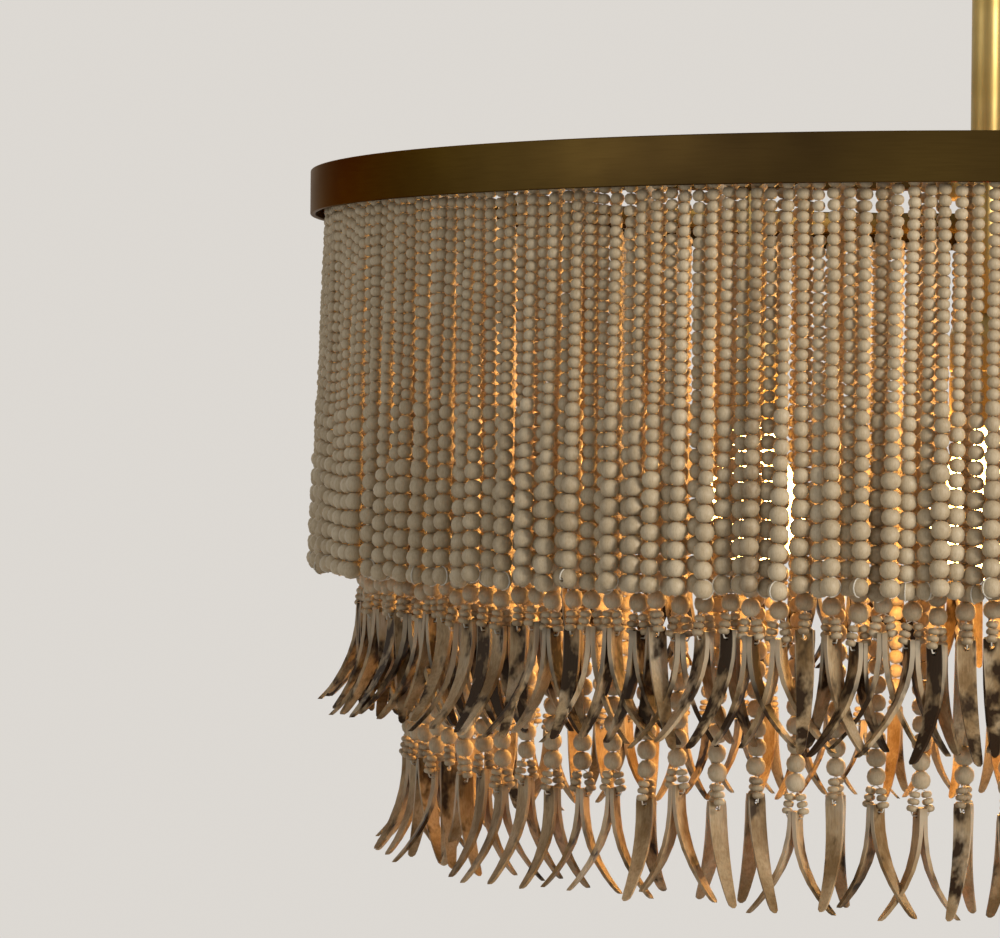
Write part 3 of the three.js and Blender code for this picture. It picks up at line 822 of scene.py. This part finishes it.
def drilled_bead(name, beads):
    """A bead of one unit across with its drilled hole along Z, its edges eased."""
    bore = beads.hole / beads.big_bead / 2
    tall = beads.big_share / 2
    profile = [(bore, -tall * 0.86), (bore, tall * 0.86)]
    first = math.asin(bore * 1.5 / 0.5)
    for bend in bends(math.pi - 2 * first, 8):
        profile.append((0.5 * math.sin(first + bend), tall * math.cos(first + bend)))
    return turned(name, profile, 14, closed=True, degrees=50)


def loop_over_bead(strand, row, beads, turn):
    """A thread drawn over the outside of the last bead, from its lower hole to its upper one."""
    side = Quaternion(strand.down, turn) @ strand.out
    reach, rise = (row["size"][n] / 2 + beads.thread_radius * 0.4 for n in (0, 2))
    return [
        row["at"] + side * reach * math.sin(bend) + strand.down * rise * math.cos(bend)
        for bend in bends(math.pi, 8)
    ]


def knot_in_bead(row, beads):
    """The thread's end that comes down over a turned bead and goes into its hole."""
    facing, size = row["facing"], row["size"][0]
    up = (Vector((0, 0, 1)) - facing * facing.z).normalized()
    reach = size / 2 + beads.thread_radius * 0.4
    lifts = [math.radians(8 + 64 * (1 - k / 5)) for k in range(6)]
    over = [row["at"] + (facing * math.cos(lift) + up * math.sin(lift)) * reach for lift in lifts]
    return over + [row["at"] + facing * size * 0.3]


def slat_turn(strand, slats, rng):
    """How far a pair of slats turns from square to the rail; it stays small next to another panel."""
    room = min(1.0, 6 * min(strand.part, 1 - strand.part))
    wave = WAVE_TURN * math.sin(TURN_WAVES * strand.angle + len(strand.tier))
    wave += CHANCE_TURN * rng.uniform(-1, 1)
    return math.radians(slats.most_turn * room * max(-1.0, min(1.0, wave)))


def loop_and_slats(context, strand, rng):
    """Places of the rondelles, the slats and the thread under a slatted strand."""
    beads, slats = settings(context, "beads"), settings(context, "slats")
    facing = Quaternion((0, 0, 1), slat_turn(strand, slats, rng)) @ strand.out
    hole = strand.foot + upright(-slats.top_drop)
    shortened = 1 - strand.sunk / (slats.drop - slats.top_drop)
    rondelles, shells = [], []
    half_gap = slats.thickness + beads.rondelle * beads.rondelle_share * 0.5
    apex = strand.foot + upright(0.0005)
    path = [apex]
    for side in (1, -1):
        start = apex + facing * side * beads.rondelle * 0.44 - upright(beads.rondelle * 0.22)
        end = hole + facing * side * (half_gap + beads.rondelle * 0.12) + upright(beads.rondelle * 0.30)
        leg = end - start
        aim = leg.normalized().to_track_quat("Z", "Y")
        for k in range(3):
            spin = tumble(rng, RONDELLE_TUMBLE)
            wide = beads.rondelle * rng.uniform(RONDELLE_LEAST, RONDELLE_MOST)
            rondelles.append({
                "at": start + leg * ((k + 0.5) / 3), "turn": (aim @ spin).to_euler(),
                "size": (wide, wide, beads.rondelle * beads.rondelle_share),
                "lot": strand.lot + RONDELLE_LOT_SHIFT,
            })
        leg_path = [start, end, hole + facing * side * half_gap]
        path = leg_path[::-1] + path if side == 1 else path + leg_path
        heading = math.atan2(facing.y, facing.x) + (0 if side == 1 else math.pi)
        lean = SLAT_LEAN + rng.gauss(0, LEAN_SPREAD)
        tight = strand.tier == "middle" and side == -1
        shells.append({
            "at": hole + facing * side * 0.0001,
            "turn": Euler((lean, 0, heading + rng.gauss(0, HEADING_SPREAD))),
            "size": (
                SLAT_SPREAD[strand.tier], rng.uniform(SLAT_NARROWEST, 1.0),
                rng.uniform(SLAT_SHORTEST, 1.0) * shortened
            ),
            # The tier's painted shade: darker middle slats, paler inner ones.
            "lot": SLAT_SHADE_BY_TIER[strand.tier],
            "shape": 2 if tight else rng.choice((0, 1)),
        })
    through = [hole + facing * half_gap, hole - facing * half_gap]
    return rondelles, shells, [path, through]


def slat_template(name, slats, flare, bow):
    """One slat, its hole at the origin: a thin strip that curls out along +X towards its round tip."""
    top, hole = slats.width * 0.42, slats.width * 0.15
    fall = slats.drop - slats.top_drop
    half_width, thick = slats.width / 2, slats.thickness
    stations = (0.12, 0.30, 0.48, 0.66, 0.82, 0.92, 0.975, 1.0)
    points, faces, across = [], [], []

    def width_at(reach):
        taper = half_width + (slats.tip_width / 2 - half_width) * reach ** 1.9
        round_off = math.sqrt(max(0.0, 1 - max(0.0, (reach - 0.95) / 0.05) ** 2))
        return taper * (0.3 + 0.7 * round_off)

    def both(y, z, depth):
        bend = flare * max(0.0, depth / fall) ** bow
        points.extend([(bend, y, z), (bend + thick, y, z)])
        across.extend([min(1.0, abs(y) / half_width)] * 2)
        return len(points) - 2

    outline = [
        (-half_width * 0.93, top), (0, top * 1.03), (half_width * 0.93, top), (half_width, 0),
        (half_width, -top), (0, -top), (-half_width, -top), (-half_width, 0)
    ]
    rim = [both(y, z, -z) for y, z in outline]
    bore = []
    for k in range(8):
        turn = math.radians(135 - 45 * k)
        bore.append(both(hole * math.cos(turn), hole * math.sin(turn), -hole * math.sin(turn)))
    for k in range(8):
        n = (k + 1) % 8
        faces.append([rim[k], rim[n], bore[n], bore[k]])
        faces.append([rim[k] + 1, bore[k] + 1, bore[n] + 1, rim[n] + 1])
        faces.append([bore[k], bore[n], bore[n] + 1, bore[k] + 1])
        if k not in (4, 5):
            faces.append([rim[k], rim[k] + 1, rim[n] + 1, rim[n]])
    row = [rim[6], rim[5], rim[4]]
    for along in stations:
        depth = top + (fall - top) * along
        half = width_at(depth / fall)
        following = [both(y, -depth, depth) for y in (-half, 0, half)]
        for n in (0, 1):
            a, b, c, d = row[n], row[n + 1], following[n + 1], following[n]
            faces.append([a, b, c, d])
            faces.append([a + 1, d + 1, c + 1, b + 1])
        faces.append([row[0], following[0], following[0] + 1, row[0] + 1])
        faces.append([row[2], row[2] + 1, following[2] + 1, following[2]])
        row = following
    faces.append([row[0], row[1], row[1] + 1, row[0] + 1])
    faces.append([row[1], row[2], row[2] + 1, row[1] + 1])
    slat = solid(name, points, faces, 40)
    slat.data.attributes.new("across", "FLOAT", "POINT").data.foreach_set("value", across)
    return slat


# Operators

class CHANDELIER_OT_mount(bpy.types.Operator):
    """Finish the ceiling bracket, the canopy, its screws and the swivel"""

    bl_idname = "chandelier.mount"
    bl_label = "Ceiling mount"

    def execute(self, context):
        metal = finish(context, "satin_brass")
        dress(self.canopy(), metal, "ceiling_mount", "aged_brass", "canopy")
        for side, name in ((1, "canopy_screw_right"), (-1, "canopy_screw_left")):
            dress(self.thumb_screw(side, name), metal, "ceiling_mount", "aged_brass", name)
        for name in ("ceiling_bracket", "swivel_upper_yoke", "swivel_cross", "swivel_lower_yoke"):
            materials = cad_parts[name].data.materials
            materials.clear()
            materials.append(metal)
        return {"FINISHED"}

    def canopy(self):
        """A thin cup with a round shoulder and a hole for the rod."""
        low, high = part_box("canopy")
        radius, wall, shoulder, hole = high.x, CANOPY_WALL, CANOPY_SHOULDER, CANOPY_HOLE
        inside, centre, top = shoulder - wall, radius - shoulder, low.z + shoulder
        turns = bends(math.pi / 2, 8)
        profile = [(radius, high.z - 0.0008), (radius - 0.0008, high.z), (radius - wall, high.z)]
        profile += [(radius - wall - inside * (1 - math.cos(t)), top - inside * math.sin(t)) for t in turns]
        profile += [(hole + 0.0012, low.z + wall), (hole, low.z + wall * 0.7)]
        profile += [(hole, low.z + 0.0004), (hole + 0.0006, low.z)]
        profile += [(centre + shoulder * math.cos(t), top - shoulder * math.sin(t)) for t in reversed(turns)]
        return turned("canopy_cup", profile, 96, closed=True)

    def thumb_screw(self, side, name):
        """A knurled thumb screw, its shank pointing at the rod."""
        low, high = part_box(name)
        head = max(abs(low.x), abs(high.x)) - SCREW_HEAD
        radius, deep = SCREW_RADIUS, SCREW_HEAD
        profile = [(0, -SHANK_LENGTH), (SHANK_RADIUS, -SHANK_LENGTH), (SHANK_RADIUS, 0.0)]
        profile += [(radius * 0.86, 0.0), (radius, 0.0006)]
        profile += [(radius, deep - 0.0006), (radius * 0.86, deep), (0, deep)]
        points, faces = revolve(profile, SCREW_TEETH * 2)
        shaped = []
        for p in points:
            if math.hypot(p.x, p.y) > radius * 0.9:
                tooth = round(math.atan2(p.y, p.x) / math.tau * SCREW_TEETH * 2) % 2
                cut = 1 - SCREW_TOOTH_DEPTH * tooth
                p = Vector((p.x * cut, p.y * cut, p.z))
            place = Vector((side * head, 0, (low.z + high.z) / 2))
            shaped.append(Matrix.Rotation(side * math.pi / 2, 3, "Y") @ p + place)
        return solid(f"{name}_knurled", shaped, faces, 30)


class CHANDELIER_OT_rods(bpy.types.Operator):
    """Make the rods, their coupler, the hub and its nut"""

    bl_idname = "chandelier.rods"
    bl_label = "Rods and hub"

    def execute(self, context):
        metal = finish(context, "satin_brass")
        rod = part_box("upper_rod")[1].x
        spigot = rod - TUBE_WALL - AIR
        pieces = {}
        for name in ("upper_rod", "lower_rod"):
            low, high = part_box(name)
            pieces[f"{name}_tube"] = rounded_section(high.x - TUBE_WALL, high.x, low.z, high.z, 0.0004), True
        pieces["rod_coupler_collar"] = self.coupler(rod, spigot), False
        low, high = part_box("hub")
        pieces["hub_block"] = rounded_section(rod + AIR, high.x, low.z, high.z, 0.0012), True
        pieces["hub_nut_dome"] = self.nut(spigot), False
        for name, (profile, closed) in pieces.items():
            replaced = name.rsplit("_", 1)[0]
            dress(turned(name, profile, closed=closed), metal, "frame", "aged_brass", replaced)
        return {"FINISHED"}

    def coupler(self, rod, spigot):
        """A collar between the rods with a spigot up into one and down into the other."""
        low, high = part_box("rod_coupler")
        collar, end = high.x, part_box("upper_rod")[0].z - AIR
        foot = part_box("lower_rod")[1].z + AIR
        profile = [(0, high.z), (spigot, high.z), (spigot, end), (rod, end), (collar, end - 0.0016)]
        profile += [(collar, end - 0.005), (collar - 0.0008, end - 0.0058), (collar - 0.0008, foot + 0.0058)]
        profile += [(collar, foot + 0.005), (collar, foot + 0.0016), (rod, foot), (spigot, foot)]
        return profile + [(spigot, low.z), (0, low.z)]

    def nut(self, spigot):
        """A domed nut under the hub with its spigot up in the rod."""
        low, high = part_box("hub_nut")
        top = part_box("hub")[0].z - AIR
        edge = top - 0.0012
        profile = [(0, high.z), (spigot, high.z), (spigot, top), (high.x * 0.8, top), (high.x, edge)]
        for bend in bends(math.pi / 2, 8)[1:-1]:
            profile.append((high.x * math.cos(bend), edge - (edge - low.z) * math.sin(bend)))
        return profile + [(0, low.z)]


class CHANDELIER_OT_ring(bpy.types.Operator):
    """Make the ring band, the arms and the strand rails"""

    bl_idname = "chandelier.ring"
    bl_label = "Ring and arms"

    def execute(self, context):
        # The band, arms and rails get the brass darkened as painted shade.
        brass_finish = finish(context, "band_brass_painted_shade")
        hoops = [("ring_band", RING_WALL, settings(context, "metal").edge_round, 240)]
        hoops += [(f"strand_rail_{tier}", RAIL_WIDTH, 0.0004, 160) for tier in TIERS]
        for name, wall, edge, segments in hoops:
            low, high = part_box(name)
            profile = rounded_section(high.x - wall, high.x, low.z, high.z, edge)
            hoop = turned(f"{name}_hoop", profile, segments, closed=True)
            dress(hoop, brass_finish, "frame", "dark_brass", name)
        for side in SIDES:
            dress(self.arm(side), brass_finish, "frame", "dark_brass", f"arm_{side}")
        return {"FINISHED"}

    def arm(self, side):
        """A flat arm with its edges eased."""
        low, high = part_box(f"arm_{side}")
        work = bmesh.new()
        bmesh.ops.create_cube(work, size=1)
        for v in work.verts:
            v.co = Vector(low[i] + (v.co[i] + 0.5) * (high[i] - low[i]) for i in range(3))
        bmesh.ops.bevel(work, geom=work.edges[:], offset=ARM_BEVEL, segments=2, affect="EDGES")
        return sealed(work, f"arm_{side}_bar", 40)


class CHANDELIER_OT_lamps(bpy.types.Operator):
    """Make the drop tubes, the lamp holders and the lit bulbs"""

    bl_idname = "chandelier.lamps"
    bl_label = "Lamps"

    def execute(self, context):
        lamp, metal = settings(context, "lamp"), finish(context, "satin_brass")
        glass, cap = finish(context, "lit_glass"), finish(context, "cap_metal")
        for side in SIDES:
            low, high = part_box(f"drop_tube_{side}")
            at = ((low.x + high.x) / 2, (low.y + high.y) / 2, 0)
            radius = (high.x - low.x) / 2
            profile = rounded_section(radius - TUBE_WALL, radius, low.z, high.z, 0.0003)
            tube = turned(f"drop_tube_{side}_pipe", profile, 32, closed=True, at=at)
            dress(tube, metal, "frame", "aged_brass", f"drop_tube_{side}")
            holder = turned(f"lamp_holder_{side}_cup", self.holder_profile(side, radius), 48, at=at)
            dress(holder, metal, "frame", "aged_brass", f"lamp_holder_{side}")
            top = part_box(f"lamp_holder_{side}")[0].z - AIR
            low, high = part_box(f"bulb_{side}")
            bulb = turned(f"bulb_{side}_glass", self.bulb_profile(lamp, low.z, top), 48, at=at)
            dress(bulb, glass, f"bulb_{side}_body", "bulb_glass", f"bulb_{side}")
            screw = turned(f"bulb_{side}_cap", self.cap_profile(lamp, top, high.z), 32, at=at)
            dress(screw, cap, f"bulb_{side}_body", "bulb_cap")
        return {"FINISHED"}

    def holder_profile(self, side, tube_radius):
        """A cup with a sloped shoulder, a groove round it and a bore for the cap."""
        low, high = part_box(f"lamp_holder_{side}")
        wide, foot = (high.x - low.x) / 2, low.z
        outside = [(0, 0), (tube_radius + 0.0012, 0), (wide * 0.62, 0.002), (wide * 0.93, 0.0072)]
        outside += [(wide, 0.011), (wide, 0.030), (wide * 0.965, 0.0308)]
        outside += [(wide * 0.965, 0.0328), (wide, 0.0336)]
        rim = [(wide, 0.001), (wide - 0.001, 0), (HOLDER_BORE + 0.0008, 0), (HOLDER_BORE, 0.0008)]
        rim += [(HOLDER_BORE, HOLDER_DEPTH), (0, HOLDER_DEPTH)]
        return [(r, high.z - fall) for r, fall in outside] + [(r, foot + rise) for r, rise in rim]

    def bulb_profile(self, lamp, low, top):
        """A glass bulb that widens from its neck to a round end."""
        wide, neck, shoulder = BULB_RADIUS, lamp.neck_radius, top - 0.001
        middle = low + wide
        profile = [(0, top - 0.0002), (neck * 0.8, top - 0.0002), (neck, shoulder)]
        for k in range(1, 12):
            rise = k / 12
            eased = rise * rise * (3 - 2 * rise)
            profile.append((neck + (wide - neck) * eased, shoulder - (shoulder - middle) * rise))
        for bend in bends(math.pi / 2, 12)[:-1]:
            profile.append((wide * math.cos(bend), middle - wide * math.sin(bend)))
        return profile + [(0, middle - wide)]

    def cap_profile(self, lamp, low, high):
        """A screw cap: thread turns, then a contact at the top."""
        profile = [(0, low + 0.0001), (CAP_RADIUS, low + 0.0001)]
        height = low + 0.002
        while height < high - 0.006:
            profile += [(CAP_RADIUS, height)]
            profile += [(CAP_RADIUS - CAP_THREAD_DEPTH, height + lamp.thread_pitch / 2)]
            height += lamp.thread_pitch
        profile += [(CAP_RADIUS * 0.8, high - 0.004), (CAP_RADIUS * 0.45, high - 0.0015)]
        return profile + [(CAP_RADIUS * 0.35, high - 0.0002), (0, high - 0.0002)]


class CHANDELIER_OT_beads(bpy.types.Operator):
    """String the beads of every tier and sector"""

    bl_idname = "chandelier.beads"
    bl_label = "Beads"

    def execute(self, context):
        beads, wood = settings(context, "beads"), finish(context, "bead_wood")
        bead = drilled_bead("drilled_bead", beads)
        shapes = {"Shape_1": bead, "Shape_2": bead, "Shape_3": bead}
        for tier, sector in PANELS:
            label, seed = f"{tier}_{sector + 1}", beads.seed + sector
            dressing = wood, f"panel_{label}", "washed_wood"
            rows = [row for _, bead_rows in strands(context, tier, sector)[0] for row in bead_rows]
            strew(
                f"beads_{label}", [row for row in rows if "facing" not in row], "Beads on strands",
                *dressing, f"strands_{label}", Sides=BEAD_SIDES[tier], Bands=6, Tone_Spread=0.14, Seed=seed
            )
            drilled = [row for row in rows if "facing" in row]
            if drilled:
                name = f"turned_beads_{label}"
                strew(name, drilled, "Shapes on points", *dressing, **shapes, Tone_Spread=0.1, Seed=seed)
        bpy.data.objects.remove(bead)
        return {"FINISHED"}


class CHANDELIER_OT_threads_and_slats(bpy.types.Operator):
    """Tie the threads and hang the rondelles and slats under the inner tiers"""

    bl_idname = "chandelier.threads_and_slats"
    bl_label = "Threads and slats"

    def execute(self, context):
        slats = settings(context, "slats")
        shapes = {
            "Shape_1": slat_template("slat_wide", slats, slats.flare, 2.1),
            "Shape_2": slat_template("slat_mid", slats, slats.flare * 0.86, 2.5),
            "Shape_3": slat_template("slat_close", slats, slats.inward_flare - slats.thickness, 2.2),
        }
        for tier, sector in PANELS:
            self.panel(context, tier, sector, shapes)
        self.thread(context, "rail_ties", self.ties(context), "frame", 4)
        for shape in shapes.values():
            bpy.data.objects.remove(shape)
        return {"FINISHED"}

    def thread(self, context, name, paths, body, sides):
        """Thread along the paths, on a body."""
        radius, cotton_finish = settings(context, "beads").thread_radius, finish(context, "waxed_thread")
        mesh = path_mesh(name, paths)
        obj = grown(name, mesh, "Thread on paths", Radius=radius, Sides=sides, Material=cotton_finish)
        dress(obj, cotton_finish, body, "thread")

    def panel(self, context, tier, sector, shapes):
        """Threads, rondelles and slats of one panel."""
        beads = settings(context, "beads")
        made, rng = strands(context, tier, sector)
        label, body = f"{tier}_{sector + 1}", f"panel_{tier}_{sector + 1}"
        paths, rondelles, shells = [], [], []
        for strand, rows in made:
            root = Vector((strand.top.x, strand.top.y, RAIL_BOTTOM + THREAD_ROOT))
            paths.append([root, strand.top, strand.foot + upright(0.001)])
            if strand.turned:
                paths[-1][-1] = rows[-1]["at"] + upright(beads.big_bead / 2)
                paths.append(knot_in_bead(rows[-1], beads))
            elif tier == "outer" and rng.random() < LOOPED_SHARE:
                paths.append(loop_over_bead(strand, rows[-1], beads, rng.uniform(-3.0, 3.0)))
            if tier != "outer":
                more = loop_and_slats(context, strand, rng)
                for kept, added in zip((rondelles, shells, paths), more):
                    kept += added
        self.thread(context, f"threads_{label}", paths, body, 5)
        if tier == "outer":
            return
        strew(
            f"rondelles_{label}", rondelles, "Beads on strands", finish(context, "bead_wood"), body,
            "washed_wood", Sides=8, Bands=5, Fullness=0.5, Tone_Spread=0.2, Seed=beads.seed + 40 + sector
        )
        strew(
            f"slats_{label}", shells, "Shapes on points", finish(context, "slat_shell"), body,
            "mottled_slat", **shapes, Tone_Spread=0.36, Seed=beads.seed + 80 + sector
        )

    def ties(self, context):
        """A small loop of thread round the rail over each strand."""
        radius = settings(context, "beads").thread_radius
        reach, low, high = RAIL_WIDTH / 2 + radius, RAIL_BOTTOM - radius, RAIL_TOP + radius
        corners = ((1, low), (1, high), (-1, high), (-1, low), (1, low))
        paths = []
        for tier, sector in PANELS:
            for strand, _ in strands(context, tier, sector)[0]:
                centre = strand.out * TIER_RADIUS[tier] + strand.along * strand.along.dot(strand.top)
                paths.append([centre + strand.out * side * reach + upright(z) for side, z in corners])
        return paths


class CHANDELIER_OT_stage(bpy.types.Operator):
    """Set the camera, the pale floor and the light"""

    bl_idname = "chandelier.stage"
    bl_label = "Stage"

    def execute(self, context):
        stage = settings(context, "stage")
        context.scene.camera = self.camera(stage)
        context.scene.world = self.world(stage)
        self.floor(context, stage)
        self.lamps()
        context.scene.view_settings.view_transform = "Standard"
        return {"FINISHED"}

    def camera(self, stage):
        """A camera in front of the ring, turned to the left as in the picture."""
        data = bpy.data.cameras.new("camera")
        data.sensor_fit = "HORIZONTAL"
        data.lens = stage.lens
        data.clip_end = 100
        obj = link(bpy.data.objects.new("camera", data))
        place = Matrix.Translation((0, -stage.distance, RING_TOP - stage.camera_drop))
        for turn, axis in ((stage.yaw, "Z"), (math.pi / 2 + stage.pitch, "X"), (stage.roll, "Z")):
            place = place @ Matrix.Rotation(turn, 4, axis)
        obj.matrix_world = place
        return obj

    def floor(self, context, stage):
        """A round pale floor under the chandelier."""
        top, radius = -stage.floor_drop, stage.floor_radius
        foot = top - stage.floor_thickness
        floor = turned("floor", [(0, top), (radius, top), (radius, foot), (0, foot)], 96)
        floor.data.materials.append(finish(context, "floor_paint"))

    def world(self, stage):
        """A pale background where it is seen, in a glint or straight on, and a softer one for the light."""
        world = bpy.data.worlds.new("studio")
        world.use_nodes = True
        tree = world.node_tree
        tree.nodes.clear()
        seen = put(tree, "ShaderNodeBackground", {"Color": opaque(stage.backdrop)})
        soft = {"Color": (0.95, 0.94, 0.92, 1), "Strength": stage.world_strength}
        light = put(tree, "ShaderNodeBackground", soft)
        path = tree.nodes.new("ShaderNodeLightPath").outputs
        clear = number(tree, "MAXIMUM", path["Is Camera Ray"], path["Is Transmission Ray"])
        direct = number(tree, "MAXIMUM", clear, path["Is Glossy Ray"])
        both = put(tree, "ShaderNodeMixShader", {0: direct, 1: light, 2: seen})
        feed(tree, tree.nodes.new("ShaderNodeOutputWorld"), {"Surface": both})
        return world

    def lamps(self):
        """A broad key from the front right, a fill from the left and a soft one from behind."""
        for name, place, size, power, tint in (
            ("key", (2.8, -2.6, 0.2), 1.2, 128, (1.0, 0.94, 0.86)),
            ("fill", (-3.2, -2.4, 0.0), 2.2, 18, (1.0, 0.97, 0.93)),
            ("rim", (-0.8, 2.8, 0.9), 1.6, 22, (1.0, 0.96, 0.9)),
        ):
            data = bpy.data.lights.new(name, "AREA")
            data.size, data.energy, data.color = size, power, tint
            obj = link(bpy.data.objects.new(name, data))
            aim = (upright(RING_TOP - 0.2) - Vector(place)).to_track_quat("-Z", "Y").to_matrix().to_4x4()
            obj.matrix_world = Matrix.Translation(place) @ aim


class CHANDELIER_PT_panel(bpy.types.Panel):
    """The chandelier's pieces in the sidebar"""

    bl_idname = "CHANDELIER_PT_panel"
    bl_label = "Beaded chandelier"
    bl_space_type = "VIEW_3D"
    bl_region_type = "UI"
    bl_category = "Chandelier"

    def draw(self, context):
        for operator in OPERATORS:
            self.layout.operator(operator.bl_idname)
        for part in SETTINGS:
            group = settings(context, part)
            box = self.layout.box()
            for key in group.bl_rna.properties.keys():
                if key not in ("name", "rna_type"):
                    box.prop(group, key)


SETTINGS = {
    "beads": BeadSettings, "slats": SlatSettings, "metal": MetalSettings, "lamp": LampSettings,
    "stage": StageSettings,
}
OPERATORS = (
    CHANDELIER_OT_stage, CHANDELIER_OT_mount, CHANDELIER_OT_rods, CHANDELIER_OT_ring, CHANDELIER_OT_lamps,
    CHANDELIER_OT_beads, CHANDELIER_OT_threads_and_slats,
)


def register():
    """Adds the settings, the operators and the panel."""
    for kind in (*SETTINGS.values(), *OPERATORS, CHANDELIER_PT_panel):
        bpy.utils.register_class(kind)
    for part, kind in SETTINGS.items():
        setattr(bpy.types.Scene, f"chandelier_{part}", PointerProperty(type=kind))


def unregister():
    """Takes them away again."""
    for part in SETTINGS:
        delattr(bpy.types.Scene, f"chandelier_{part}")
    for kind in (CHANDELIER_PT_panel, *reversed(OPERATORS), *SETTINGS.values()):
        bpy.utils.unregister_class(kind)


def main():
    """Builds every piece in order."""
    register()
    for operator in OPERATORS:
        group, name = operator.bl_idname.split(".")
        getattr(getattr(bpy.ops, group), name)()


if __name__ == "__main__":
    main()
